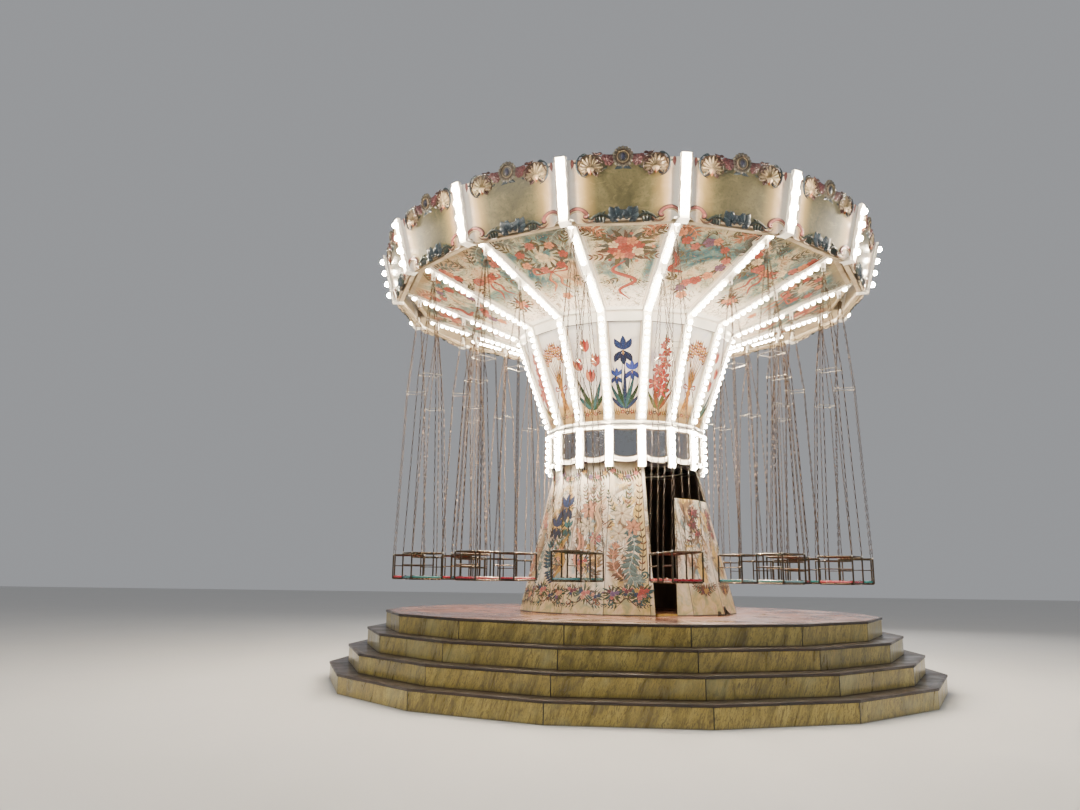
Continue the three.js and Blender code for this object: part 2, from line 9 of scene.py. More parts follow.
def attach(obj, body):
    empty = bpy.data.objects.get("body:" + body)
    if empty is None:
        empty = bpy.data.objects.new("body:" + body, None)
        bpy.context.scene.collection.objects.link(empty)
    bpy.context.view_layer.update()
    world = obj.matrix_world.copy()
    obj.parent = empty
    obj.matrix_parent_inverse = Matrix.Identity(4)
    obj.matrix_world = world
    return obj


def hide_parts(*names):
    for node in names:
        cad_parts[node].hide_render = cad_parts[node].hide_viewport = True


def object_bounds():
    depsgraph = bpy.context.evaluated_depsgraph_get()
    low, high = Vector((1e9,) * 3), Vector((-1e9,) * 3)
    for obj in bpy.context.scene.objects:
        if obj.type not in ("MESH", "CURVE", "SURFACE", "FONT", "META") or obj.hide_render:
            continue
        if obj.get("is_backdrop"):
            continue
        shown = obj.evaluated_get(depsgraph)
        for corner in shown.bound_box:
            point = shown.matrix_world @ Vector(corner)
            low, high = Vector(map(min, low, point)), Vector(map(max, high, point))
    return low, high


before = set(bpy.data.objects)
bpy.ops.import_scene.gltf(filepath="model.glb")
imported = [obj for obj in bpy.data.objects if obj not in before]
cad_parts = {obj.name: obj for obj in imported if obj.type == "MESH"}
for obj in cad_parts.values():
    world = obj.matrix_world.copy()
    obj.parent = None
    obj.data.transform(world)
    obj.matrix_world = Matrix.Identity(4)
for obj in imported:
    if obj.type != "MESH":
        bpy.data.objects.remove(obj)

cad_box = [list(corner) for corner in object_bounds()]

# The ride has sixteen sides. Radii are to the corners, and angles run from -Y towards +X.
SECTORS = 16
SECTOR = 2 * math.pi / SECTORS
HALF = SECTOR / 2
FLAT = math.cos(HALF)

STEP_RADII = [3.940, 3.707, 3.474, 3.241]
STEP_RISE = 0.220
TREAD, NOSING = 0.030, 0.012
BOARD, DECK_HOLE, DECK_TOP = 0.15, 0.15, 0.880
KINK = (1.547, 4.664)
RAIL = (3.137, 5.266)
CONE_FOOT = 3.340
DRUM = {"radius": 1.090, "bottom": 2.733, "top": 3.234}
CONE_SLOPE = (KINK[0] - DRUM["radius"]) / (KINK[1] - CONE_FOOT)
CANOPY_SLOPE = (RAIL[1] - KINK[1]) / (RAIL[0] - KINK[0])
CROWN = {"bottom": 3.330, "foot": 5.181, "top": 3.479, "head": 5.805}
CROWN_SLOPE = (CROWN["top"] - CROWN["bottom"]) / (CROWN["head"] - CROWN["foot"])
PROUD, CROWN_PROUD = 0.028, 0.038
RIB_HALF = 0.068
MOULDING, KINK_RING, CROWN_RING = (1.106, 3.287), (1.500, 4.556), (3.272, 5.150)
TOWER_FOOT, TOWER_SLOPE = 1.467, -0.467 / 1.920
HOOKS = {"outer": (2.974, 5.129), "inner": (2.337, 4.878)}
SEAT_TOP, SPREADER = 1.320, 3.830


# Meshes


class Mesh:
    """Collects closed pieces for one object: points, faces, material numbers and tints."""

    def __init__(self):
        self.points, self.faces, self.numbers, self.tints = [], [], [], []
        self.count = 0

    def add(self, points, faces, number=0, tint=(1.0, 1.0, 1.0)):
        """Adds one piece with its material number, and one tint or a tint for each point."""
        points = np.asarray(points, float).reshape(-1, 3)
        tint = np.asarray(tint, float)
        if tint.ndim == 1:
            tint = np.tile(tint, (len(points), 1))
        groups = {}
        for face in faces:
            groups.setdefault(len(face), []).append(face)
        for group in groups.values():
            group = np.asarray(group, int) + self.count
            self.faces.append(group)
            self.numbers.append(np.full(len(group), number))
        self.points.append(points)
        self.tints.append(tint)
        self.count += len(points)

    def add_many(self, points, quads):
        """Adds copies that share their quads, as the first material. Points are (copies, n, 3)."""
        copies, size = points.shape[:2]
        every = (np.arange(copies) * size)[:, None, None] + np.asarray(quads)
        self.add(points, every.reshape(-1, 4))

    def mesh(self, name, crease=35, fix=True):
        """Makes the mesh, sharp above the crease angle. With fix, its faces are turned outwards."""
        data = bpy.data.meshes.new(name)
        points = np.concatenate(self.points)
        loops = np.concatenate([group.ravel() for group in self.faces])
        sizes = np.concatenate([np.full(len(group), group.shape[1]) for group in self.faces])
        starts = np.concatenate([[0], np.cumsum(sizes)[:-1]])
        data.vertices.add(len(points))
        data.vertices.foreach_set("co", points.ravel())
        data.loops.add(len(loops))
        data.loops.foreach_set("vertex_index", loops)
        data.polygons.add(len(sizes))
        data.polygons.foreach_set("loop_start", starts)
        data.polygons.foreach_set("material_index", np.concatenate(self.numbers))
        data.polygons.foreach_set("use_smooth", np.ones(len(sizes), bool))
        data.update(calc_edges=True)
        data.validate()
        if fix:
            work = bmesh.new()
            work.from_mesh(data)
            bmesh.ops.recalc_face_normals(work, faces=work.faces)
            work.to_mesh(data)
            work.free()
        tint = data.color_attributes.new("tint", "FLOAT_COLOR", "POINT")
        colours = np.ones((len(points), 4))
        colours[:, :3] = np.concatenate(self.tints)
        tint.data.foreach_set("color", colours.ravel())
        data.set_sharp_from_angle(angle=math.radians(crease))
        return data


def put(name, data, materials, body, replaces=(), matrix=None):
    """Adds one piece to the scene and says its body and the nodes that it replaces."""
    piece = bpy.data.objects.new(name, data)
    bpy.context.scene.collection.objects.link(piece)
    if matrix is not None:
        piece.matrix_world = matrix
    if not data.materials:
        for material in materials:
            data.materials.append(material)
    bpy.context.view_layer.update()
    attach(piece, body)
    if replaces:
        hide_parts(*replaces)
    return piece


def cycle(sides, turn=0.0):
    """Angles of equal steps round a circle."""
    return [2 * math.pi * j / sides + turn for j in range(sides)]


def band(a, b, n):
    """Quads between two closed rows of n points that start at numbers a and b."""
    return [(a + j, a + (j + 1) % n, b + (j + 1) % n, b + j) for j in range(n)]


def outward(angle):
    """Level direction away from the axis."""
    return np.array([math.sin(angle), -math.cos(angle), 0.0])


def sideways(angle):
    """Level direction round the axis."""
    return np.array([math.cos(angle), math.sin(angle), 0.0])


class Panel:
    """Plane of one flat of the ride: u across, v along it as (outwards, up), w out of its face."""

    def __init__(self, radius, z, along):
        self.along = np.array(along) / np.hypot(*along)
        self.out = np.array([self.along[1], -self.along[0]])
        self.start = np.array([radius * FLAT, z])

    def place(self, points, k):
        """Points in u, v, w, moved to flat k."""
        points = np.asarray(points, float)
        flat = self.start + points[:, 1:2] * self.along + points[:, 2:3] * self.out
        angle = k * SECTOR
        place = flat[:, :1] * outward(angle) + points[:, :1] * sideways(angle)
        place[:, 2] = flat[:, 1]
        return place


def upright_panel(radius, z, slope):
    """Panel that starts at a corner radius and height, and leans outwards by its slope."""
    return Panel(radius, z, (slope * FLAT, 1.0))


def at_corner(points, k):
    """Points made in a radial plane (radial, across, z), turned to corner k."""
    points = np.asarray(points, float)
    angle = (k + 0.5) * SECTOR
    place = points[:, :1] * outward(angle) + points[:, 1:2] * sideways(angle)
    place[:, 2] = points[:, 2]
    return place


def tube(path, radius, sides, closed=False):
    """Round tube along a line of points, with capped ends unless it is closed."""
    path = np.asarray(path, float)
    n = len(path)
    ahead = np.roll(path, -1, 0) - path
    ahead /= np.maximum(np.linalg.norm(ahead, axis=1, keepdims=True), 1e-9)
    if closed:
        tangents = ahead + np.roll(ahead, 1, 0)
    else:
        tangents = ahead.copy()
        tangents[1:-1] += ahead[:-2]
        tangents[-1] = ahead[-2]
    tangents /= np.maximum(np.linalg.norm(tangents, axis=1, keepdims=True), 1e-9)
    side = np.cross(tangents[0], [0, 0, 1])
    if np.linalg.norm(side) < 0.1:
        side = np.cross(tangents[0], [0, 1, 0])
    side /= np.linalg.norm(side)
    radii = np.broadcast_to(np.asarray(radius, float), (n,))
    rings = []
    for i in range(n):
        side = side - tangents[i] * side.dot(tangents[i])
        side /= np.linalg.norm(side)
        up = np.cross(tangents[i], side)
        stretch = 1.0
        if 0 < i < n - 1 or closed:
            stretch = 1.0 / max(0.6, float(tangents[i].dot(ahead[i])))
        for a in cycle(sides):
            rings.append(path[i] + radii[i] * (math.cos(a) * side * stretch + math.sin(a) * up))
    faces = []
    for i in range(n if closed else n - 1):
        faces += band(i * sides, (i + 1) % n * sides, sides)
    if not closed:
        faces.append(tuple(range(sides))[::-1])
        faces.append(tuple(range((n - 1) * sides, n * sides)))
    return np.array(rings), faces


def lathe(profile, centre, axis, sides):
    """Profile of (radius, height) points turned round an axis, closed at both ends."""
    axis = np.asarray(axis, float) / np.linalg.norm(axis)
    side = np.cross(axis, [0, 0, 1])
    if np.linalg.norm(side) < 0.1:
        side = np.cross(axis, [0, 1, 0])
    side /= np.linalg.norm(side)
    up = np.cross(axis, side)
    points, faces, rows = [], [], []
    for radius, height in profile:
        base = np.asarray(centre, float) + height * axis
        if radius < 1e-6:
            rows.append([len(points)])
            points.append(base)
            continue
        rows.append(list(range(len(points), len(points) + sides)))
        for a in cycle(sides):
            points.append(base + radius * (math.cos(a) * side + math.sin(a) * up))
    for low, high in zip(rows, rows[1:]):
        for j in range(sides):
            nxt = (j + 1) % sides
            if len(low) == 1:
                faces.append((low[0], high[j], high[nxt]))
            elif len(high) == 1:
                faces.append((low[nxt], low[j], high[0]))
            else:
                faces.append((low[nxt], low[j], high[j], high[nxt]))
    for row in (rows[0], rows[-1]):
        if len(row) > 1:
            faces.append(tuple(row))
    return np.array(points), faces


def prism(outline, low, high, bevel=0.0):
    """Flat outline in u, v raised from w low to w high, with a bevelled upper edge."""
    outline = np.asarray(outline, float)
    n = len(outline)
    rows = [np.column_stack([outline, np.full(n, low)])]
    if bevel:
        rows.append(np.column_stack([outline, np.full(n, high - bevel)]))
        before, after = outline - np.roll(outline, 1, 0), np.roll(outline, -1, 0) - outline
        before /= np.linalg.norm(before, axis=1, keepdims=True)
        after /= np.linalg.norm(after, axis=1, keepdims=True)
        normal = np.column_stack([-(before + after)[:, 1], (before + after)[:, 0]])
        normal /= np.maximum(np.linalg.norm(normal, axis=1, keepdims=True), 1e-6)
        (u, v), (next_u, next_v) = outline.T, np.roll(outline, -1, 0).T
        inner = outline + normal * bevel * (1 if np.sum(u * next_v - v * next_u) > 0 else -1)
        rows.append(np.column_stack([inner, np.full(n, high)]))
    else:
        rows.append(np.column_stack([outline, np.full(n, high)]))
    faces = [tuple(range(n))[::-1]]
    for r in range(len(rows) - 1):
        faces += band(r * n, (r + 1) * n, n)
    faces.append(tuple(range((len(rows) - 1) * n, len(rows) * n)))
    return np.concatenate(rows), faces


def rounded(width, depth, radius, steps):
    """Rectangle with round corners, centred, as a closed line of points."""
    points = []
    for cx, cy, start in ((1, 1, 0), (-1, 1, 90), (-1, -1, 180), (1, -1, 270)):
        for i in range(steps + 1):
            a = math.radians(start + 90 * i / steps)
            points.append((
                cx * (width / 2 - radius) + radius * math.cos(a),
                cy * (depth / 2 - radius) + radius * math.sin(a),
            ))
    return np.array(points)


def ring_run(mesh, profile, k, gap, number=0):
    """Section of (corner radius, z) points along one flat, with a gap at each corner."""
    profile = np.asarray(profile, float)
    n = len(profile)
    half = profile[:, 0] * math.sin(HALF) - gap
    apothem = profile[:, 0] * FLAT
    angle = k * SECTOR
    ends = []
    for sign in (-1, 1):
        end = apothem[:, None] * outward(angle) + sign * half[:, None] * sideways(angle)
        end[:, 2] = profile[:, 1]
        ends.append(end)
    faces = [tuple(range(n)), tuple(range(n, 2 * n))[::-1], *band(0, n, n)]
    mesh.add(np.concatenate(ends), faces, number)


# Ornament in the plane of a panel


def shade(colour, factor):
    """Colour made darker or lighter."""
    return tuple(min(1.0, c * factor) for c in colour)


def point_at(centre, angle, reach, squash=1.0):
    """Point on a circle, or on an oval if it is squashed."""
    return centre[0] + reach * math.cos(angle), centre[1] + reach * squash * math.sin(angle)


def leaf(start, angle, length, width, colour, bend, lift, steps=5, full=0.75):
    """Leaf with a ridge: points in u, v, w, faces and a tint for each point."""
    points, tints = [], []
    u, v = start
    for i in range(steps + 1):
        s = i / steps
        here = angle + bend * s
        spread = width / 2 * math.sin(math.pi * min(1, s ** full)) if i < steps else 0.0
        spread = max(spread, 0.02 * width)
        nu, nv = -math.sin(here), math.cos(here)
        points += [
            (u + nu * spread, v + nv * spread, 0.0),
            (u, v, lift * (0.35 + 0.65 * math.sin(math.pi * min(1, 0.15 + 0.8 * s)))),
            (u - nu * spread, v - nv * spread, 0.0),
        ]
        tints += [shade(colour, 0.72), shade(colour, 1.18 - 0.25 * s), shade(colour, 0.9)]
        u += math.cos(here) * length / steps
        v += math.sin(here) * length / steps
    faces = []
    for i in range(steps):
        a, b = 3 * i, 3 * (i + 1)
        faces += [(a, a + 1, b + 1, b), (a + 1, a + 2, b + 2, b + 1), (a, b, b + 2, a + 2)]
    faces += [(0, 2, 1), (3 * steps, 3 * steps + 1, 3 * steps + 2)]
    return points, faces, tints


def ribbon(path, widths, colour, lift, back=None):
    """Half-round band along a line of points in u, v. Widths given as a tuple are those of a taper."""
    path = np.asarray(path, float)
    if isinstance(widths, tuple):
        widths = taper(len(path), *widths)
    widths = np.broadcast_to(np.asarray(widths, float), (len(path),))
    along = np.gradient(path, axis=0)
    along /= np.maximum(np.linalg.norm(along, axis=1, keepdims=True), 1e-9)
    normal = np.column_stack([-along[:, 1], along[:, 0]])
    points, tints = [], []
    for i, (centre, side, width) in enumerate(zip(path, normal, widths)):
        rise = lift * (0.5 + 0.5 * width / widths.max())
        for share, height, tone in (
            (1, 0, 0.6), (0.6, 0.75, 0.95), (0, 1, 1.2), (-0.6, 0.75, 0.9), (-1, 0, 0.6),
        ):
            place = centre + side * width / 2 * share
            points.append((place[0], place[1], rise * height))
            tints.append(shade(back if back and share < 0 else colour, tone))
    faces = []
    for i in range(len(path) - 1):
        a, b = 5 * i, 5 * (i + 1)
        for j in range(4):
            faces.append((a + j, a + j + 1, b + j + 1, b + j))
        faces.append((a, b, b + 4, a + 4))
    last = 5 * (len(path) - 1)
    faces += [(4, 3, 2, 1, 0), (last, last + 1, last + 2, last + 3, last + 4)]
    return points, faces, tints


def button(centre, size, colour, lift, sides, edge=0.7, turn=0.0, middle=1.15):
    """Low dome, oval if size is a pair."""
    a, b = size if isinstance(size, tuple) else (size, size)
    points, tints, faces = [], [], []
    for share, height, tone in ((1, 0, edge), (0.75, 0.7, 1.0)):
        for t in cycle(sides):
            x, y = a * share * math.cos(t), b * share * math.sin(t)
            points.append((
                centre[0] + x * math.cos(turn) - y * math.sin(turn),
                centre[1] + x * math.sin(turn) + y * math.cos(turn),
                lift * height,
            ))
            tints.append(shade(colour, tone))
    points.append((centre[0], centre[1], lift))
    tints.append(shade(colour, middle))
    for j in range(sides):
        nxt = (j + 1) % sides
        faces += [(j, nxt, sides + nxt, sides + j), (sides + j, sides + nxt, 2 * sides)]
    faces.append(tuple(range(sides))[::-1])
    return points, faces, tints


def rose(centre, radius, colour, lift, turn):
    """Layers of round petals, each layer higher and darker towards the heart."""
    pieces = []
    for count, place, size, height, tone in (
        (6, 0.62, 0.42, 0.55, 1.08), (5, 0.36, 0.34, 0.85, 0.95), (3, 0.14, 0.24, 1.1, 0.78),
    ):
        for j in range(count):
            a = turn + 2 * math.pi * (j + 0.5 * (count % 2)) / count
            petal = (radius * size * 0.8, radius * size)
            middle = point_at(centre, a, radius * place)
            pieces.append(button(middle, petal, shade(colour, tone), lift * height, 8, 0.68, a))
    pieces.append(button(centre, radius * 0.16, shade(colour, 0.62), lift * 1.25, 6))
    return pieces


def blossom(centre, radius, colour, core, petals, lift, turn):
    """One ring of pointed petals round a core."""
    pieces = [
        leaf(centre, a, radius, radius * 0.72, colour, 0.15, lift, 4, 1.3)
        for a in cycle(petals, turn)
    ]
    pieces.append(button(centre, radius * 0.22, core, lift * 1.4, 8))
    return pieces


def curve(points, steps):
    """Smooth line through a few points in u, v."""
    points = np.asarray(points, float)
    n = len(points)
    padded = np.vstack([2 * points[0] - points[1], points, 2 * points[-1] - points[-2]])
    line = []
    for i in range(n - 1):
        p0, p1, p2, p3 = padded[i:i + 4]
        for j in range(steps):
            t = j / steps
            line.append(0.5 * (
                2 * p1 + (p2 - p0) * t + (2 * p0 - 5 * p1 + 4 * p2 - p3) * t ** 2
                + (3 * p1 - p0 - 3 * p2 + p3) * t ** 3
            ))
    line.append(points[-1])
    return np.array(line)


def spiral(centre, outer, inner, start, turns, steps):
    """Points from an outer to an inner radius, over a number of turns."""
    line = []
    for i in range(steps + 1):
        s = i / steps
        a = start + turns * 2 * math.pi * s
        line.append(point_at(centre, a, outer + (inner - outer) * s))
    return line


def taper(n, thick, thin, peak=0.3):
    """Widths that grow to a peak along a line and shrink to its tip."""
    s = np.linspace(0, 1, n)
    rise = np.where(s < peak, s / peak, (1 - s) / (1 - peak))
    return thin + (thick - thin) * np.sin(rise * math.pi / 2)


def stamp(mesh, panel, k, pieces, mirror=False, ink=None, depth=1.0):
    """Puts ornament on panel k, mirrored too where asked. Painted ornament has an ink edge and no back."""
    for sign in ((1, -1) if mirror else (1,)):
        for points, faces, tints in pieces:
            points, tints = np.array(points, float), np.array(tints, float) ** depth
            low = points[:, 2] < 1e-6
            if ink:
                tints[low] = 0.45 * tints[low] + 0.55 * np.asarray(ink)
                faces = [face for face in faces if not low[list(face)].all()]
            points[:, 0] *= sign
            points[low, 2] -= 0.0006
            mesh.add(panel.place(points, k), faces, 0, tints)


# Materials


class Paint:
    """Builds one node material, ending in a Principled shader."""

    def __init__(self, name, roughness, metallic=0.0, coat=0.0, specular=0.5):
        self.material = bpy.data.materials.new(name)
        self.material.use_nodes = True
        self.tree = self.material.node_tree
        self.tree.nodes.clear()
        self.shader = self.new("ShaderNodeBsdfPrincipled")
        self.shader.inputs["Roughness"].default_value = roughness
        self.shader.inputs["Metallic"].default_value = metallic
        self.shader.inputs["Coat Weight"].default_value = coat
        self.shader.inputs["Coat Roughness"].default_value = 0.12
        self.shader.inputs["Specular IOR Level"].default_value = specular
        output = self.new("ShaderNodeOutputMaterial")
        self.tree.links.new(self.shader.outputs[0], output.inputs[0])
        self.coordinates = self.new("ShaderNodeTexCoord")
        self.at = self.coordinates.outputs["Object"]

    def new(self, kind, **values):
        node = self.tree.nodes.new(kind)
        for key, value in values.items():
            setattr(node, key, value)
        return node

    def give(self, socket, value):
        if isinstance(value, bpy.types.NodeSocket):
            self.tree.links.new(value, socket)
        elif socket.type == "RGBA" and len(value) == 3:
            socket.default_value = (*value, 1)
        else:
            socket.default_value = value

    def sum(self, operation, *values):
        node = self.new("ShaderNodeMath", operation=operation)
        for socket, value in zip(node.inputs, values):
            self.give(socket, value)
        return node.outputs[0]

    def plus(self, a, b):
        return self.sum("ADD", a, b)

    def minus(self, a, b):
        return self.sum("SUBTRACT", a, b)

    def times(self, a, b):
        return self.sum("MULTIPLY", a, b)

    def absolute(self, value):
        return self.sum("ABSOLUTE", value)

    def stirred(self, value, noise, reach):
        """Value moved up and down by a noise."""
        return self.plus(value, self.times(self.minus(noise, 0.5), reach))

    def step(self, value, low, high, to_low=0.0, to_high=1.0):
        """Smooth step from one value to another as a value goes from low to high."""
        node = self.new("ShaderNodeMapRange", interpolation_type="SMOOTHSTEP")
        for socket, item in zip(node.inputs, (value, low, high, to_low, to_high)):
            self.give(socket, item)
        return node.outputs[0]

    def mix(self, share, a, b, blend="MIX"):
        node = self.new("ShaderNodeMix", data_type="RGBA", blend_type=blend)
        self.give(node.inputs[0], share)
        self.give(node.inputs[6], a)
        self.give(node.inputs[7], b)
        return node.outputs[2]

    def over(self, tone, colour, value, none, full, most=1.0):
        """Colour laid over a tone, from none of it at one value to the most of it at another."""
        return self.mix(self.step(value, none, full, 0.0, most), tone, colour)

    def vector(self, x, y, z):
        node = self.new("ShaderNodeCombineXYZ")
        for socket, value in zip(node.inputs, (x, y, z)):
            self.give(socket, value)
        return node.outputs[0]

    def scaled(self, vector, factors):
        node = self.new("ShaderNodeVectorMath", operation="MULTIPLY")
        self.give(node.inputs[0], vector)
        node.inputs[1].default_value = factors
        return node.outputs[0]

    def noise(self, scale, detail, vector=None, rough=0.55, bent=0.0):
        node = self.new("ShaderNodeTexNoise")
        self.give(node.inputs["Vector"], vector or self.at)
        node.inputs["Scale"].default_value = scale
        node.inputs["Detail"].default_value = detail
        node.inputs["Roughness"].default_value = rough
        node.inputs["Distortion"].default_value = bent
        return node.outputs[0]

    def ramp(self, value, stops):
        node = self.new("ShaderNodeValToRGB")
        ramp = node.color_ramp
        while len(ramp.elements) < len(stops):
            ramp.elements.new(0.5)
        for element, (place, colour) in zip(ramp.elements, stops):
            element.position = place
            element.color = (*colour, 1)
        self.give(node.inputs[0], value)
        return node.outputs[0]

    def parts(self, vector):
        node = self.new("ShaderNodeSeparateXYZ")
        self.give(node.inputs[0], vector)
        return node.outputs

    def polar(self):
        """Across, outwards and up in the plane of the nearest flat, and the flat's number."""
        x, y, z = self.parts(self.at)
        angle = self.sum("ARCTAN2", x, self.times(y, -1.0))
        turn = self.plus(self.sum("DIVIDE", angle, SECTOR), 0.5)
        number = self.sum("FLOOR", turn)
        local = self.times(self.minus(self.minus(turn, number), 0.5), SECTOR)
        radius = self.sum("SQRT", self.plus(self.times(x, x), self.times(y, y)))
        across = self.times(radius, self.sum("SINE", local))
        away = self.times(radius, self.sum("COSINE", local))
        return across, away, z, number

    def line(self, field, thin, thick):
        """One along the contour of a noise field, none beyond it."""
        return self.step(self.absolute(self.minus(field, 0.5)), thick, thin, 0.0, 0.8)

    def corner(self, across, away):
        """Distance from the nearest corner plane, measured across the flat."""
        edge = self.times(away, math.tan(HALF))
        return self.minus(edge, self.absolute(across))

    def facing(self):
        """Above zero on faces that look away from the axis, below zero on those that look at it."""
        normal, place = self.parts(self.coordinates.outputs["Normal"]), self.parts(self.at)
        return self.plus(self.times(normal[0], place[0]), self.times(normal[1], place[1]))

    def bump(self, height, strength, distance):
        node = self.new("ShaderNodeBump")
        node.inputs["Strength"].default_value = strength
        node.inputs["Distance"].default_value = distance
        self.give(node.inputs["Height"], height)
        self.tree.links.new(node.outputs[0], self.shader.inputs["Normal"])

    def finish(self, colour, height, strength, distance=0.002, rough=None):
        """Joins colour, relief and roughness to the shader, and gives the material."""
        self.give(self.shader.inputs["Base Color"], colour)
        self.bump(height, strength, distance)
        if rough is not None:
            self.give(self.shader.inputs["Roughness"], rough)
        return self.material


def white_paint(name, base, coat=0.3, dull_below=None, dull_beyond=None):
    """White gloss. Between the ribs it is matt cream below a height or beyond a distance, where given."""
    p = Paint(name, 0.35, coat=coat)
    grime = p.noise(3.0, 6, rough=0.65)
    fine = p.noise(60.0, 3)
    tone = p.over(base, shade(base, 0.8), grime, 0.45, 0.75, 0.5)
    tone = p.over(tone, (0.55, 0.48, 0.38), fine, 0.62, 0.8, 0.35)
    rough = p.step(grime, 0.3, 0.8, 0.25, 0.5)
    if dull_below or dull_beyond:
        across, away, z, _ = p.polar()
        if dull_below:
            zone = p.step(z, dull_below, dull_below - 0.004)
        else:
            zone = p.step(away, dull_beyond, dull_beyond + 0.004)
        dull = p.times(zone, p.step(p.corner(across, away), RIB_HALF, RIB_HALF + 0.008))
        tone = p.mix(dull, tone, p.mix(p.step(grime, 0.35, 0.65), (0.20, 0.15, 0.09), (0.38, 0.31, 0.21)))
        p.give(p.shader.inputs["Coat Weight"], p.times(p.minus(1.0, dull), coat))
        rough = p.sum("MAXIMUM", rough, dull)
    return p.finish(tone, p.plus(grime, p.times(fine, 0.3)), 0.18, rough=rough)


def metal(name, base, dark, roughness, rust=None):
    """Worn metal, with rust where a colour for it is given."""
    p = Paint(name, roughness, metallic=0.9)
    broad = p.noise(9.0, 6, rough=0.7)
    fine = p.noise(140.0, 3)
    tone = p.mix(p.step(broad, 0.35, 0.7), base, dark)
    if rust:
        tone = p.over(tone, rust, p.noise(24.0, 7, rough=0.75), 0.56, 0.68, 0.8)
    rough = p.step(broad, 0.3, 0.75, roughness - 0.1, roughness + 0.22)
    return p.finish(tone, p.plus(broad, p.times(fine, 0.4)), 0.25, 0.001, rough=rough)


def tinted(name, roughness, coat, strokes, relief, specular=0.5):
    """Brushed paint whose colour comes from each piece's own tint."""
    p = Paint(name, roughness, coat=coat, specular=specular)
    tint = p.new("ShaderNodeVertexColor", layer_name="tint").outputs[0]
    broad = p.noise(strokes, 5, rough=0.7, bent=0.6)
    fine = p.noise(strokes * 7, 3)
    tone = p.mix(p.step(broad, 0.35, 0.7, 0.0, 0.42), tint, p.mix(1.0, tint, (0.55, 0.5, 0.46), "MULTIPLY"))
    tone = p.over(tone, (0.86, 0.8, 0.7), fine, 0.55, 0.8, 0.3)
    rough = p.step(broad, 0.3, 0.75, roughness - 0.1, roughness + 0.12)
    return p.finish(tone, p.plus(broad, p.times(fine, 0.4)), relief, 0.0015, rough=rough)


def laminate():
    """Marbled boards of the steps, each with its own cut of the pattern."""
    p = Paint("marbled_laminate", 0.35, coat=0.25)
    across, away, z, number = p.polar()
    level = p.sum("FLOOR", p.sum("DIVIDE", z, STEP_RISE))
    shift = p.plus(p.times(number, 3.7), p.times(level, 11.3))
    slant = p.plus(p.plus(across, shift), p.times(z, -0.30))
    at = p.vector(slant, p.times(z, 0.24), 0.0)
    broad = p.noise(5.5, 6, at, 0.62, 1.1)
    veins = p.noise(26.0, 7, at, 0.7, 1.6)
    cloud = p.noise(2.2, 3, p.vector(slant, z, 3.0))
    tone = p.ramp(broad, [
        (0.28, (0.090, 0.062, 0.009)), (0.42, (0.20, 0.145, 0.022)),
        (0.54, (0.34, 0.245, 0.042)), (0.70, (0.46, 0.35, 0.080)),
    ])
    tone = p.over(tone, (0.085, 0.055, 0.012), veins, 0.50, 0.62, 0.75)
    hairs = p.noise(85.0, 5, at, 0.72, 1.4)
    tone = p.over(tone, (0.095, 0.066, 0.015), hairs, 0.50, 0.60, 0.75)
    own = p.noise(1.0, 1, p.vector(p.times(number, 2.37), p.times(level, 5.91), 1.0))
    tone = p.over(tone, p.mix(1.0, tone, (0.62, 0.66, 0.55), "MULTIPLY"), own, 0.4, 0.6, 0.45)
    tone = p.over(tone, (0.30, 0.28, 0.12), cloud, 0.5, 0.75, 0.5)
    foot = p.sum("FRACT", p.sum("DIVIDE", z, STEP_RISE))
    tone = p.over(tone, (0.13, 0.10, 0.06), foot, 0.12, 0.0, 0.55)
    tone = p.over(tone, (0.012, 0.009, 0.005), p.corner(across, away), 0.0075, 0.0045)
    return p.finish(tone, veins, 0.15, rough=p.step(broad, 0.3, 0.7, 0.25, 0.45))


def deck_paint(name, light, dark, roughness):
    """Boards that run along each flat of the platform."""
    p = Paint(name, roughness, coat=0.35)
    across, away, z, number = p.polar()
    board = p.sum("FLOOR", p.sum("DIVIDE", away, BOARD))
    shift = p.plus(p.times(number, 5.1), p.times(board, 2.3))
    at = p.vector(p.plus(p.times(across, 0.12), shift), away, z)
    grain = p.noise(22.0, 7, at, 0.65, 0.8)
    own = p.noise(1.7, 1, p.vector(shift, shift, 0.0))
    wet = p.noise(1.6, 5, rough=0.6)
    tone = p.mix(p.step(grain, 0.35, 0.68), dark, light)
    tone = p.over(tone, shade(light, 1.2), own, 0.35, 0.65, 0.5)
    tone = p.over(tone, shade(dark, 0.7), wet, 0.5, 0.7, 0.35)
    return p.finish(tone, grain, 0.25, rough=p.step(wet, 0.35, 0.65, roughness + 0.2, roughness - 0.12))


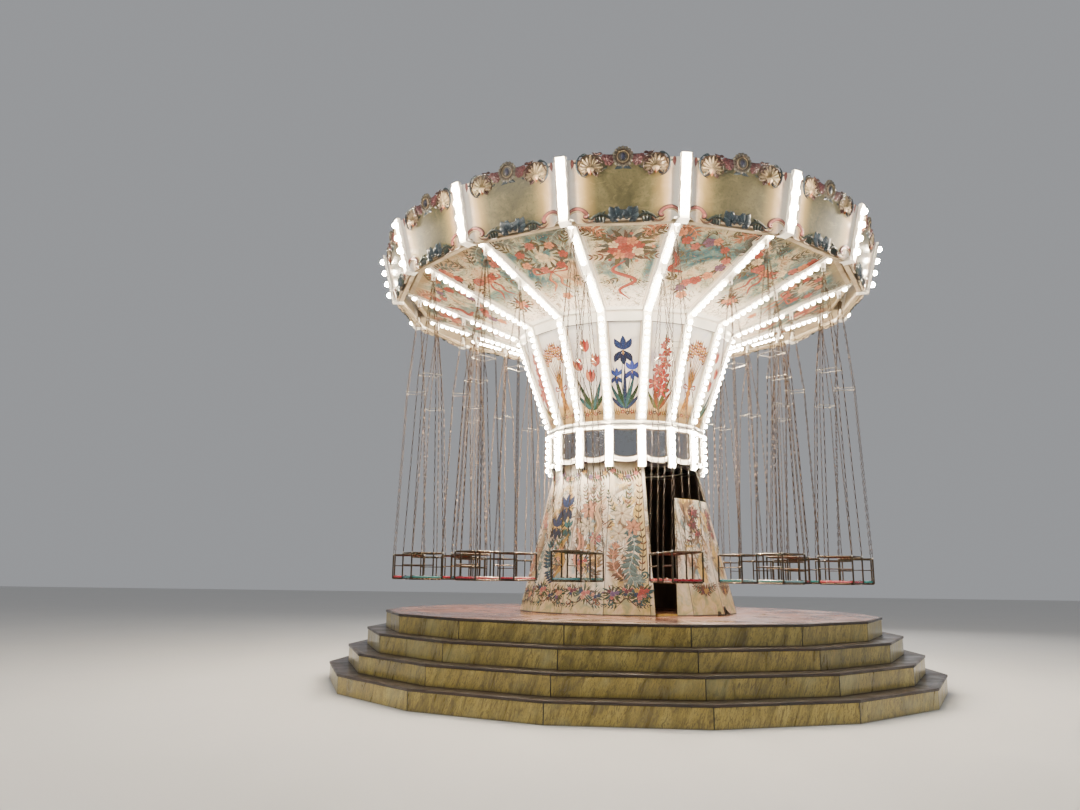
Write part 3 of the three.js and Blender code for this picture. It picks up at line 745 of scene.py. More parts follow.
def tower_paint():
    """Painted panels of the tower, raw plywood on the inside."""
    p = Paint("tower_paint", 0.45, coat=0.15)
    across, away, z, number = p.polar()
    along = p.plus(across, p.times(number, 4.3))
    at = p.vector(along, p.times(z, 0.8), 0.0)
    wash = p.noise(2.4, 5, at, 0.6, 0.9)
    haze = p.noise(4.2, 4, p.vector(along, z, 7.0), 0.55, 1.4)
    tone = p.ramp(wash, [
        (0.30, (0.62, 0.46, 0.30)), (0.44, (0.80, 0.69, 0.52)),
        (0.58, (0.88, 0.80, 0.68)), (0.72, (0.76, 0.56, 0.44)),
    ])
    tone = p.over(tone, (0.50, 0.55, 0.48), haze, 0.54, 0.68, 0.6)
    strokes = p.noise(9.0, 5, p.vector(p.times(along, 1.6), z, 2.0), 0.62, 2.0)
    tone = p.over(tone, (0.36, 0.20, 0.08), strokes, 0.61, 0.70, 0.5)
    tone = p.over(tone, (0.70, 0.32, 0.22), strokes, 0.37, 0.30, 0.4)
    wide, middle, tall = 0.27, 1.85, 0.80
    reach = p.plus(
        p.sum("POWER", p.sum("DIVIDE", across, wide), 2.0),
        p.sum("POWER", p.sum("DIVIDE", p.minus(z, middle), tall), 2.0),
    )
    inside = p.step(reach, 1.15, 0.35)
    for seed, low, colour in (
        (3.0, 0.52, (0.66, 0.38, 0.22)), (8.0, 0.54, (0.17, 0.27, 0.28)),
        (13.0, 0.54, (0.68, 0.43, 0.09)), (18.0, 0.55, (0.17, 0.085, 0.035)),
    ):
        flow = p.vector(along, p.times(z, 0.7), seed)
        patch = p.step(p.noise(3.6, 5, flow, 0.6, 1.6), low, low + 0.05, 0.0, 0.95)
        tone = p.mix(p.times(patch, inside), tone, colour)
    for seed, colour in (
        (5.0, (0.13, 0.065, 0.03)), (11.0, (0.20, 0.11, 0.05)), (17.0, (0.12, 0.12, 0.09)),
    ):
        line = p.noise(2.7, 4, p.vector(along, p.times(z, 0.62), seed), 0.6, 1.7)
        tone = p.mix(p.times(p.line(line, 0.0055, 0.0150), inside), tone, colour)
    edge = p.corner(across, away)
    beside_door = p.times(p.sum("COMPARE", number, 0.0, 0.5), p.step(across, 0.0, 0.05))
    yellow = p.times(p.step(edge, 0.15, 0.03, 0.0, 0.75), beside_door)
    tone = p.mix(yellow, tone, p.mix(haze, (0.70, 0.52, 0.20), (0.58, 0.38, 0.08)))
    drip = p.stirred(z, p.noise(3.2, 5, at, 0.65, 1.0), 0.9)
    ground = p.ramp(p.noise(7.0, 5, at, 0.6, 1.0), [
        (0.36, (0.26, 0.26, 0.08)), (0.48, (0.56, 0.40, 0.11)),
        (0.58, (0.68, 0.50, 0.24)), (0.68, (0.50, 0.22, 0.10)),
    ])
    tone = p.over(tone, ground, drip, 1.42, 1.02, 0.8)
    high = p.stirred(z, haze, 0.4)
    tone = p.over(tone, (0.26, 0.19, 0.08), high, 2.55, 2.80, 0.75)
    tone = p.over(tone, (0.07, 0.05, 0.035), edge, 0.0055, 0.003)
    # Painted shadow line along the foot of each panel, where it meets the deck.
    tone = p.over(tone, (0.06, 0.05, 0.04), z, DECK_TOP + 0.018, DECK_TOP + 0.008)
    ply = p.mix(p.noise(18.0, 5, p.scaled(p.at, (1, 1, 0.12))), (0.10, 0.075, 0.05), (0.17, 0.13, 0.09))
    tone = p.mix(p.step(p.facing(), -0.1, 0.1), ply, tone)
    rough = p.step(wash, 0.3, 0.7, 0.35, 0.55)
    return p.finish(tone, p.plus(haze, p.noise(90.0, 2)), 0.12, rough=rough)


def cone_paint():
    """Pale panels with a strip of ground and a thin border."""
    p = Paint("cone_paint", 0.7, specular=0.15)
    across, away, z, number = p.polar()
    along = p.plus(across, p.times(number, 6.1))
    at = p.vector(along, z, 0.0)
    wash = p.noise(2.8, 5, at, 0.6, 0.7)
    mist = p.noise(1.6, 4, p.vector(p.times(along, 0.6), p.times(z, 2.0), 4.0), 0.6)
    tone = p.ramp(wash, [
        (0.32, (0.50, 0.45, 0.47)), (0.46, (0.70, 0.64, 0.60)),
        (0.60, (0.84, 0.77, 0.66)), (0.75, (0.58, 0.52, 0.56)),
    ])
    tone = p.over(tone, (0.86, 0.80, 0.66), mist, 0.5, 0.7, 0.5)
    low = p.stirred(z, wash, 0.12)
    ground = p.mix(p.noise(14.0, 6, at), (0.24, 0.12, 0.025), (0.55, 0.36, 0.12))
    tone = p.over(tone, ground, low, 3.66, 3.56, 0.9)
    tone = p.over(tone, (0.62, 0.68, 0.76), low, 4.28, 4.55, 0.4)
    edge = p.minus(p.corner(across, away), 0.061)
    line = p.absolute(p.minus(edge, 0.018))
    tone = p.over(tone, (0.88, 0.80, 0.66), edge, 0.020, 0.016)
    tone = p.over(tone, (0.36, 0.22, 0.12), line, 0.004, 0.0015)
    rough = p.step(wash, 0.3, 0.7, 0.6, 0.8)
    return p.finish(tone, p.plus(wash, p.noise(70.0, 3, at)), 0.12, rough=rough)


def canopy_paint():
    """Clouds and brushwork, with a painted glow that fades them to white at the kink."""
    p = Paint("canopy_paint", 0.75, specular=0.12)
    across, away, _, number = p.polar()
    along = p.plus(across, p.times(number, 7.9))
    at = p.vector(along, away, 0.0)
    puff = p.noise(2.1, 6, at, 0.62, 0.9)
    glow = p.noise(1.2, 3, p.vector(along, away, 5.0), 0.5, 0.5)
    tone = p.ramp(puff, [
        (0.39, (0.010, 0.048, 0.060)), (0.45, (0.045, 0.11, 0.112)), (0.50, (0.17, 0.20, 0.145)),
        (0.56, (0.39, 0.34, 0.23)), (0.63, (0.40, 0.25, 0.14)), (0.71, (0.17, 0.080, 0.040)),
    ])
    tone = p.over(tone, (0.60, 0.44, 0.27), glow, 0.54, 0.70, 0.3)
    # Painted glow of the lamps at the kink: the sheets fade to warm white towards it.
    near = p.stirred(away, puff, 0.9)
    tone = p.over(tone, (0.86, 0.76, 0.64), near, 2.15, 1.70, 0.8)
    brush = p.noise(7.0, 5, at, 0.62, 2.2)
    tone = p.over(tone, (0.14, 0.085, 0.04), brush, 0.58, 0.65, 0.7)
    tone = p.over(tone, (0.46, 0.14, 0.08), brush, 0.39, 0.33, 0.6)
    for seed, colour in ((2.0, (0.09, 0.045, 0.02)), (9.0, (0.10, 0.10, 0.05))):
        line = p.noise(3.4, 4, p.vector(along, away, seed), 0.6, 1.8)
        tone = p.mix(p.line(line, 0.0045, 0.0130), tone, colour)
    edge = p.minus(p.corner(across, away), 0.065)
    tone = p.over(tone, (0.90, 0.85, 0.74), edge, 0.07, 0.0, 0.8)
    tone = p.over(tone, (0.46, 0.32, 0.20), p.absolute(p.minus(edge, 0.03)), 0.005, 0.002)
    tone = p.over(tone, (0.22, 0.16, 0.08), away, 2.86, 3.00, 0.8)
    tone = p.over(tone, (0.86, 0.84, 0.80), away, 1.62, 1.55, 0.7)
    normal = p.parts(p.coordinates.outputs["Normal"])
    back = p.mix(p.noise(16.0, 4), (0.36, 0.33, 0.28), (0.48, 0.44, 0.38))
    tone = p.over(tone, back, normal[2], -0.1, 0.1)
    rough = p.step(puff, 0.3, 0.7, 0.65, 0.85)
    return p.finish(tone, p.plus(puff, p.noise(60.0, 3, at)), 0.15, rough=rough)


def crown_paint():
    """Olive boards with a painted glow that turns them cream beside the light ribs, bare wood on the inside.
    """
    p = Paint("crown_paint", 0.5, coat=0.15)
    across, away, z, number = p.polar()
    along = p.plus(across, p.times(number, 5.3))
    at = p.vector(along, z, 0.0)
    cloud = p.noise(3.0, 6, at, 0.65, 0.8)
    fine = p.noise(38.0, 4, at, 0.6)
    tone = p.ramp(cloud, [
        (0.32, (0.060, 0.056, 0.022)), (0.48, (0.115, 0.098, 0.038)), (0.66, (0.19, 0.155, 0.066)),
    ])
    tone = p.over(tone, (0.070, 0.062, 0.026), fine, 0.50, 0.68, 0.6)
    brush = p.noise(11.0, 6, p.vector(p.times(along, 0.5), z, 6.0), 0.7, 1.2)
    tone = p.over(tone, (0.24, 0.19, 0.080), brush, 0.54, 0.66, 0.5)
    # Painted glow of the rib lamps: the boards turn orange, then cream, then near white towards each rib.
    edge = p.corner(across, away)
    wide = p.stirred(edge, cloud, 0.10)
    tone = p.over(tone, (0.42, 0.27, 0.085), wide, 0.40, 0.20, 0.75)
    tone = p.over(tone, (0.80, 0.56, 0.34), wide, 0.27, 0.10, 0.95)
    tone = p.over(tone, (1.0, 0.93, 0.82), wide, 0.19, 0.08)
    carved_width = p.step(p.absolute(across), 0.53, 0.49)
    crest = p.times(p.step(z, CROWN["head"] - 0.022, CROWN["head"] - 0.012), carved_width)
    leafy_width = p.step(p.absolute(across), 0.352, 0.340)
    hem = p.times(p.step(z, CROWN["foot"] + 0.010, CROWN["foot"] + 0.004), leafy_width)
    shadow = p.mix(fine, (0.030, 0.018, 0.010), (0.085, 0.055, 0.030))
    tone = p.mix(p.sum("MAXIMUM", crest, hem), tone, shadow)
    back = p.mix(p.noise(20.0, 5, p.scaled(p.at, (1, 1, 0.2))), (0.30, 0.23, 0.15), (0.42, 0.34, 0.23))
    tone = p.mix(p.step(p.facing(), -0.3, 0.3), back, tone)
    rough = p.step(cloud, 0.3, 0.7, 0.4, 0.6)
    return p.finish(tone, p.plus(cloud, p.times(fine, 0.5)), 0.2, rough=rough)


def roof_paint():
    """Dusty woven sheet with a seam at each corner."""
    p = Paint("roof_sheet", 0.55)
    across, away, z, number = p.polar()
    along = p.plus(across, p.times(number, 3.3))
    dirt = p.noise(1.8, 6, p.vector(along, away, z), 0.65, 0.5)
    weave = p.noise(240.0, 2, p.scaled(p.at, (1, 1, 0.3)))
    tone = p.mix(p.step(dirt, 0.35, 0.7), (0.66, 0.62, 0.53), (0.46, 0.43, 0.36))
    runs = p.noise(9.0, 4, p.vector(along, p.times(away, 0.1), 0.0))
    tone = p.over(tone, (0.36, 0.33, 0.27), runs, 0.55, 0.75, 0.4)
    edge = p.corner(across, away)
    tone = p.over(tone, (0.56, 0.52, 0.44), edge, 0.035, 0.025)
    tone = p.over(tone, (0.25, 0.22, 0.18), p.absolute(p.minus(edge, 0.03)), 0.003, 0.001)
    return p.finish(tone, p.plus(dirt, p.times(weave, 0.4)), 0.3)


def mirror_glass():
    """Old mirror with dull spots."""
    p = Paint("mirror", 0.04, metallic=1.0)
    spots = p.noise(11.0, 7, rough=0.75)
    tone = p.mix(p.step(spots, 0.5, 0.72, 0.0, 0.6), (0.50, 0.51, 0.52), (0.30, 0.28, 0.24))
    return p.finish(tone, p.noise(2.5, 2), 0.06, rough=p.step(spots, 0.45, 0.75, 0.03, 0.28))


def seat_paint(name, base):
    """Gloss paint, worn in places."""
    p = Paint(name, 0.3, coat=0.5)
    wear = p.noise(30.0, 6, rough=0.7)
    broad = p.noise(6.0, 4)
    tone = p.mix(p.step(broad, 0.35, 0.7), base, shade(base, 0.62))
    tone = p.over(tone, (0.20, 0.17, 0.14), wear, 0.66, 0.76, 0.8)
    return p.finish(tone, p.plus(wear, broad), 0.2, 0.001, rough=p.step(wear, 0.4, 0.75, 0.2, 0.5))


def lamp(name, strength):
    """Lit glass, faceted and warm."""
    p, warm = Paint(name, 0.15, coat=0.4), (1.0, 0.86, 0.66)
    facets = p.noise(90.0, 2)
    glass = p.mix(p.step(facets, 0.4, 0.7), (0.98, 0.93, 0.82), (0.90, 0.80, 0.62))
    p.give(p.shader.inputs["Emission Color"], p.mix(p.step(facets, 0.3, 0.75), warm, shade(warm, 0.86)))
    p.shader.inputs["Emission Strength"].default_value = strength
    return p.finish(glass, facets, 0.2, 0.001)


GLOSS = (0.90, 0.86, 0.78)
WHITE = white_paint("white_frame", GLOSS)
TRIM = white_paint("cream_trim", (0.82, 0.72, 0.60))
CROWN_WHITE = white_paint("crown_frame_paint", GLOSS, dull_below=CROWN["foot"] - 0.003)
CANOPY_WHITE = white_paint("canopy_frame_paint", GLOSS, dull_beyond=RAIL[0] - 0.132)
STEEL = metal("dark_steel", (0.20, 0.18, 0.16), (0.10, 0.09, 0.08), 0.45, (0.16, 0.075, 0.03))
BRONZE = metal("bronze_tube", (0.10, 0.072, 0.045), (0.035, 0.028, 0.022), 0.32, (0.20, 0.11, 0.045))
CHAIN = metal("chain_steel", (0.12, 0.078, 0.048), (0.05, 0.032, 0.022), 0.45, (0.13, 0.055, 0.022))
BRIGHT = metal("bright_wire", (0.72, 0.67, 0.58), (0.45, 0.40, 0.33), 0.3)
LAMP = lamp("lamp", 140.0)
STRONG_LAMP = lamp("strong_lamp", 900.0)
COLLAR = white_paint("lamp_collar", (0.78, 0.72, 0.62), coat=0.1)
CARVED = tinted("carved_relief", 0.45, 0.3, 30.0, 0.4)
PICTURE = tinted("painted_sprays", 0.5, 0.1, 40.0, 0.2)
MATT_PICTURE = tinted("matt_sprays", 0.8, 0.0, 40.0, 0.2, 0.1)
LAMINATE = laminate()
DECK = deck_paint("deck_boards", (0.21, 0.080, 0.045), (0.075, 0.026, 0.015), 0.25)
TREADS = deck_paint("tread_boards", (0.034, 0.017, 0.009), (0.010, 0.006, 0.0035), 0.55)
TOWER = tower_paint()
CONE = cone_paint()
CANOPY = canopy_paint()
CROWN_BOARD = crown_paint()
ROOF = roof_paint()
MIRROR = mirror_glass()
RED = seat_paint("seat_red", (0.40, 0.016, 0.03))
TEAL = seat_paint("seat_teal", (0.015, 0.14, 0.135))
DARK = metal("frame_strip", (0.13, 0.10, 0.07), (0.05, 0.04, 0.03), 0.4)
YELLOW = seat_paint("threshold_wood", (0.62, 0.42, 0.08))
EDGE = seat_paint("rib_edge", (0.035, 0.028, 0.022))

for node, material in {
    "base_frame": STEEL, "mast": STEEL, "tower_head_ring": STEEL, "rotor_frame": STEEL,
    "tower_front_panels": TOWER, "tower_left_panels": TOWER, "tower_rear_panels": TOWER,
    "tower_right_panels": TOWER, "tower_half_panel": TOWER, "door_threshold": YELLOW,
    "drum_frame": WHITE, "drum_mirrors": MIRROR, "cone_frame": WHITE, "cone_panels": CONE,
    "canopy_frame": CANOPY_WHITE, "canopy_sheets": CANOPY, "crown_band": CROWN_BOARD,
    "crown_frame": CROWN_WHITE, "roof": ROOF,
}.items():
    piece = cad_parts[node]
    piece.data.materials.clear()
    piece.data.materials.append(material)


# Camera, lights and floor

YAW, PITCH, ROLL = 0.1018, 0.19986, 0.0116
ahead = Vector((-math.sin(YAW), math.cos(YAW), 0))
right = Vector((math.cos(YAW), math.sin(YAW), 0))
look = ahead * math.cos(PITCH) + Vector((0, 0, math.sin(PITCH)))
over = Vector((0, 0, math.cos(PITCH))) - ahead * math.sin(PITCH)
image_right = (right * math.cos(ROLL) + over * math.sin(ROLL)).normalized()
image_up = (over * math.cos(ROLL) - right * math.sin(ROLL)).normalized()
camera = bpy.data.objects.new("camera", bpy.data.cameras.new("camera"))
bpy.context.scene.collection.objects.link(camera)
camera.data.sensor_width = 36.0
camera.data.lens = 28.34
turn = Matrix((image_right, image_up, -look)).transposed().to_4x4()
camera.matrix_world = Matrix.Translation((0, -12.0, 1.323)) @ turn
bpy.context.scene.camera = camera


def softbox(name, place, target, size, power, colour):
    """Area light that looks at its target."""
    light = bpy.data.lights.new(name, "AREA")
    light.shape = "RECTANGLE"
    light.size, light.size_y = size
    light.energy = power
    light.color = colour
    item = bpy.data.objects.new(name, light)
    bpy.context.scene.collection.objects.link(item)
    item.location = place
    item.rotation_mode = "QUATERNION"
    item.rotation_quaternion = (Vector(target) - Vector(place)).to_track_quat("-Z", "Y")


softbox("key", (-9, -12, 9), (0, 0, 3), (8, 6), 1100, (1.0, 0.96, 0.90))
softbox("fill", (13, -6, 5), (0, 0, 2.5), (8, 6), 500, (0.92, 0.96, 1.0))
softbox("rear", (3, 13, 8), (0, 0, 4), (9, 5), 900, (1.0, 0.97, 0.94))
world = bpy.data.worlds.new("studio")
bpy.context.scene.world = world
world.use_nodes = True
world.node_tree.nodes["Background"].inputs[0].default_value = (0.80, 0.82, 0.86, 1)
world.node_tree.nodes["Background"].inputs[1].default_value = 0.42

studio = Paint("studio_floor", 0.8)
screed = studio.mix(studio.noise(0.6, 3), (0.62, 0.61, 0.59), (0.66, 0.65, 0.63))
floor_data = bpy.data.meshes.new("floor")
floor_data.from_pydata([(-60, -60, 0), (60, -60, 0), (60, 60, 0), (-60, 60, 0)], [], [(0, 1, 2, 3)])
floor_data.materials.append(studio.finish(screed, studio.noise(30.0, 3), 0.05))
floor = bpy.data.objects.new("floor", floor_data)
bpy.context.scene.collection.objects.link(floor)
floor.location = (0, 0, -0.001)
floor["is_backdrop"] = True


# Platform

NOSE = [
    (-0.030, 0), (-0.008, 0), (-0.003, -0.0015), (0, -0.006), (0, -0.011), (-0.003, -0.0135),
    (-0.003, -0.0165), (0, -0.019), (0, -0.024), (-0.003, -0.0285), (-0.008, -TREAD), (-0.055, -TREAD),
    (-0.055, -0.006), (-0.030, -0.006),
]
risers, treads, deck = Mesh(), Mesh(), Mesh()
for level, radius in enumerate(STEP_RADII):
    foot, top = STEP_RISE * level + (0.0004 if level else 0.0), STEP_RISE * (level + 1)
    under, edge = top - TREAD, radius + NOSING
    for k in range(SECTORS):
        gap = 0.0035 if k % 2 else 0.0015
        board = [(radius, foot + 0.004), (radius, under), (radius - 0.022, under), (radius - 0.022, foot)]
        ring_run(risers, board + [(radius - 0.003, foot)], k, gap)
        ring_run(treads, [(edge + out, top + up) for out, up in NOSE], k, 0.0008)
        if level < 3:
            inner = STEP_RADII[level + 1] - 0.06
            ring_run(treads, [
                (edge - 0.032, top), (edge - 0.032, top - 0.006), (edge - 0.057, top - 0.006),
                (edge - 0.057, under), (inner, under), (inner, top),
            ], k, 0.0008)
    if level < 3:
        rear = [(inner, 0.0), (inner + 0.022, 0.0), (inner + 0.022, under - 0.001), (inner, under - 0.001)]
        for k in range(SECTORS):
            ring_run(risers, rear, k, 0.001)

for k in range(SECTORS):
    out, low, top = STEP_RADII[3] + NOSING - 0.033, DECK_TOP - TREAD + 0.003, DECK_TOP
    while out > DECK_HOLE + 0.01:
        back = max(out - BOARD / FLAT, DECK_HOLE)
        ring_run(deck, [
            (out - 0.0015, top - 0.002), (out - 0.0035, top), (back + 0.0025, top),
            (back + 0.0005, top - 0.002), (back + 0.0005, low), (out - 0.0015, low),
        ], k, 0.0018)
        out = back
step_nodes = ["step_1", "step_2", "step_3", "deck_riser"]
put("step_risers", risers.mesh("step_risers"), [LAMINATE], "base", step_nodes)
put("step_treads", treads.mesh("step_treads", 28), [TREADS], "base")
put("platform_boards", deck.mesh("platform_boards"), [DECK], "base", ["platform_deck"])


# Brackets and cover plate on the deck


def bracket(mesh, k, across, wide, tall, deep):
    """Angle bracket at the foot of a tower panel: foot plate, upright, gusset and bolts."""
    out, side = outward(k * SECTOR), sideways(k * SECTOR)
    face, half, shoulder = TOWER_FOOT * FLAT, wide / 2, tall * 0.8

    def add(points, faces):
        ground = points[:, 1:2] * out + (across + points[:, :1]) * side
        mesh.add(np.column_stack([ground[:, 0], ground[:, 1], DECK_TOP + points[:, 2]]), faces)

    plate = [(-half, face - 0.004), (half, face - 0.004), (half, face + deep), (-half, face + deep)]
    add(*prism(plate, 0, 0.009, 0.002))
    back = [
        (-half, 0), (half, 0), (half, shoulder), (half * 0.6, tall), (-half * 0.6, tall), (-half, shoulder),
    ]
    points, faces = prism(back, 0, 0.009, 0.002)
    leaning = face + points[:, 2] + TOWER_SLOPE * points[:, 1]
    add(np.column_stack([points[:, 0], leaning, points[:, 1]]), faces)
    gusset = [
        (face, 0.006), (face + deep * 0.85, 0.008), (face + 0.004 + TOWER_SLOPE * shoulder, tall * 0.85),
    ]
    points, faces = prism(gusset, -0.004, 0.004)
    add(points[:, [2, 0, 1]], faces)
    bolt = [(0.009, -0.001), (0.009, 0.006), (0.007, 0.008), (0, 0.008)]
    for share in (-0.3, 0.3):
        add(*lathe(bolt, (share * wide, face + deep * 0.62, 0.009), (0, 0, 1), 6))


fittings = Mesh()
bracket(fittings, 2, 0.20, 0.060, 0.050, 0.050)
bracket(fittings, 3, -0.20, 0.093, 0.107, 0.070)
plate_x, plate_y = 1.75, -0.54
plate, faces = prism([(0.062 * math.cos(a), 0.045 * math.sin(a)) for a in cycle(24)], 0.0, 0.007, 0.003)
fittings.add(plate + np.array([plate_x, plate_y, DECK_TOP]), faces)
handle = [
    (plate_x + 0.022 * math.cos(a), plate_y + 0.022 * math.sin(a), DECK_TOP + 0.010)
    for a in cycle(12)
]
fittings.add(*tube(handle, 0.004, 6, closed=True))
put("deck_fittings", fittings.mesh("deck_fittings"), [DARK], "base")


# Bulbs of the light ribs

LAMP_PITCH, LAMP_RADIUS, CROWN_LAMP = 0.090, 0.030, 0.036
bulbs = Mesh()


def cone_face(z):
    return DRUM["radius"] + CONE_SLOPE * (z - CONE_FOOT)


def canopy_face(radius):
    return KINK[1] + CANOPY_SLOPE * (radius - KINK[0])


def crown_face(z):
    return CROWN["bottom"] + CROWN_SLOPE * (z - CROWN["foot"]) + CROWN_PROUD


def bulb(place, normal, radius=LAMP_RADIUS, stand=0.0, number=0):
    """Round cap lamp in a low collar, made in a radial plane and repeated at every corner."""
    rim = [
        (radius * 1.10, -0.002), (radius * 1.10, 0.006 + stand), (radius * 0.95, 0.009 + stand), (0, 0.006),
    ]
    foot = 0.012 + stand
    dome = [
        (radius * 0.90, 0.006 + stand), (radius, foot + radius * 0.2), (radius * 0.90, foot + radius * 0.60),
        (radius * 0.52, foot + radius * 0.98), (0, foot + radius * 1.12),
    ]
    centre, axis = (place[0], 0.0, place[1]), (normal[0], 0.0, normal[1])
    (rim, rim_faces), (dome, dome_faces) = lathe(rim, centre, axis, 9), lathe(dome, centre, axis, 9)
    for k in range(SECTORS):
        bulbs.add(at_corner(rim, k), rim_faces, 1)
        bulbs.add(at_corner(dome, k), dome_faces, number)


cone_out = np.array([1.0, -CONE_SLOPE]) / math.hypot(1, CONE_SLOPE)
canopy_out = np.array([CANOPY_SLOPE, -1.0]) / math.hypot(1, CANOPY_SLOPE)
crown_out = np.array([1.0, -CROWN_SLOPE]) / math.hypot(1, CROWN_SLOPE)
for z in np.arange(DRUM["bottom"] + 0.045, DRUM["top"] + 0.03, LAMP_PITCH):
    bulb((DRUM["radius"], z), (1, 0), number=2)
for z in np.arange(CONE_FOOT + 0.06, KINK[1] - 0.05, LAMP_PITCH / math.hypot(1, CONE_SLOPE)):
    bulb((cone_face(z), z), cone_out)
for radius in np.arange(KINK[0] + 0.07, RAIL[0] - 0.03, LAMP_PITCH / math.hypot(1, CANOPY_SLOPE)):
    if min(abs(radius - hook) for hook in (HOOKS["inner"][0], HOOKS["outer"][0])) > 0.060:
        bulb((radius, canopy_face(radius)), canopy_out)
for along in (0.075, 0.245, 0.415, 0.585):
    z = CROWN["foot"] + along / math.hypot(1, CROWN_SLOPE)
    bulb((crown_face(z), z), crown_out, CROWN_LAMP, 0.004, 2)
put("bulbs", bulbs.mesh("bulbs", 50), [LAMP, COLLAR, STRONG_LAMP], "rotor")


# Trim of the ribs, the rail and the kink

STRIP = 0.003
STRIP_FACES = [(0, 1, 3, 2), (4, 6, 7, 5), (0, 2, 6, 4), (1, 5, 7, 3), (0, 4, 5, 1), (2, 3, 7, 6)]
trim = Mesh()


def rib_strip(start, end, half, out, wide):
    """Two narrow strips along the edges of a rib's face, from (radius, z) to (radius, z)."""
    for side in (-1, 1):
        line = [
            (radius + out[0] * height, across, z + out[1] * height)
            for radius, z in (start, end)
            for across in (side * half, side * (half - wide))
            for height in (0.0, STRIP)
        ]
        for k in range(SECTORS):
            trim.add(at_corner(line, k), STRIP_FACES, 1)


low, high = CROWN["foot"] - 0.036, CROWN["head"] + 0.020
rib_strip((crown_face(low), low), (crown_face(high), high), 0.065, crown_out, 0.013)
low, high = DRUM["bottom"] + 0.003, DRUM["top"] - 0.002
rib_strip((DRUM["radius"], low), (DRUM["radius"], high), 0.050, (1, 0), 0.005)
foot, head = (DRUM["radius"] + 0.0002, CONE_FOOT + 0.005), (KINK[0] - 0.006, KINK[1] - 0.003)
rib_strip(foot, head, 0.056, cone_out, 0.005)
near, far = KINK[0] - 0.002, RAIL[0] - 0.009
rib_strip((near, canopy_face(near)), (far, canopy_face(far)), 0.060, canopy_out, 0.006)

for k in range(SECTORS):
    for radius, z, size in (
        (RAIL[0], RAIL[1] + 0.016, 0.010), (RAIL[0], RAIL[1] + 0.052, 0.008),
        (KINK[0] - 0.006, KINK[1] + 0.012, 0.007), (MOULDING[0], MOULDING[1] - 0.025, 0.007),
        (MOULDING[0], MOULDING[1] + 0.025, 0.007), (*CROWN_RING, 0.007),
    ):
        bead = [
            (radius + size * math.sin(a) / FLAT, z - size * math.cos(a))
            for a in np.linspace(0, math.pi, 7)
        ]
        bead += [(radius - 0.002, z + size), (radius - 0.002, z - size)]
        ring_run(trim, bead, k, 0.0, 2 if radius > 3 else 0)
    for radius, z in ((RAIL[0], RAIL[1] + 0.034), KINK_RING, MOULDING):
        back, front, low, high = radius - 0.004, radius + 0.0015, z - 0.004, z + 0.004
        ring_run(trim, [(back, low), (front, low), (front, high), (back, high)], k, 0.0, 1)
put("rib_trim", trim.mesh("rib_trim"), [TRIM, EDGE, CANOPY_WHITE], "rotor")


# Mirror frames

MIRROR_FOOT, MIRROR_HEAD = 2.850, 3.230
SCREW = [(0.004, 0), (0.004, 0.003), (0.002, 0.0045), (0, 0.0045)]
half_mirror = DRUM["radius"] * math.sin(HALF) - 0.059
mirror_trim = Mesh()
mirror_panel = upright_panel(DRUM["radius"] - PROUD, 0.0, 0.0)


def scallop(u):
    """Height of the curved board under a mirror."""
    return MIRROR_FOOT + 0.035 * (u / (half_mirror + 0.014)) ** 2


for k in range(SECTORS):
    lower = [(u, scallop(u) + 0.004) for u in np.linspace(-half_mirror, half_mirror, 9)]
    outline = lower + [(half_mirror, MIRROR_HEAD), (-half_mirror, MIRROR_HEAD)]
    inset = [(u * 0.93, v + 0.014) for u, v in lower]
    inset += [(side * half_mirror * 0.93, MIRROR_HEAD - 0.016) for side in (1, -1)]
    n = len(outline)
    rows = [
        np.column_stack([line, np.full(n, height)])
        for line, height in ((outline, -0.0005), (outline, 0.010), (inset, 0.007), (inset, -0.0005))
    ]
    faces = [face for r in range(4) for face in band(r * n, (r + 1) % 4 * n, n)]
    mirror_trim.add(mirror_panel.place(np.concatenate(rows), k), faces)
    for side in (-1, 1):
        for v in (2.93, 3.05, 3.17):
            screw, faces = lathe(SCREW, (0, 0, 0), (0, 0, 1), 6)
            place = np.array([side * half_mirror * 0.965, v, 0.0085])
            mirror_trim.add(mirror_panel.place(screw + place, k), faces, 1)
    for below in (0.004, 0.050):
        across = np.linspace(-half_mirror - 0.008, half_mirror + 0.008, 11)
        bead = [(u, scallop(u) - below, PROUD + 0.001) for u in across]
        mirror_trim.add(*tube(mirror_panel.place(bead, k), 0.006, 6), 2)
put("mirror_frames", mirror_trim.mesh("mirror_frames"), [DARK, BRIGHT, TRIM], "rotor")


# Carved ornament of the crown

UP = math.pi / 2
ROSE, ROSE_DARK, MAROON = (0.090, 0.018, 0.019), (0.080, 0.018, 0.014), (0.060, 0.016, 0.011)
SCROLL, SLATE, GREEN = (0.31, 0.095, 0.075), (0.012, 0.027, 0.037), (0.010, 0.020, 0.012)
CREAM, TAUPE, KHAKI = (0.70, 0.52, 0.30), (0.105, 0.090, 0.062), (0.13, 0.055, 0.025)
ORANGE, BLUE, BROWN = (0.36, 0.095, 0.025), (0.007, 0.008, 0.022), (0.06, 0.026, 0.010)


def medallion():
    """Beaded medallion in the middle of the crest, and the bud at the foot of a board."""
    at = (0, 0.660)
    return [button(point_at(at, a, 0.097), 0.025, TAUPE, 0.016, 8) for a in cycle(16)] + [
        button(at, 0.096, shade(TAUPE, 0.75), 0.014, 20),
        ribbon(spiral(at, 0.062, 0.062, 0, 1.0, 22), 0.012, shade(CREAM, 0.38), 0.022),
        ribbon(spiral(at, 0.078, 0.078, 0, 1.0, 22), 0.008, BROWN, 0.018),
        button(at, (0.034, 0.050), BLUE, 0.030, 16, 0.5, 0.0, 3.0),
        button((0, 0.036), (0.016, 0.024), shade(SLATE, 1.6), 0.022, 10),
    ]


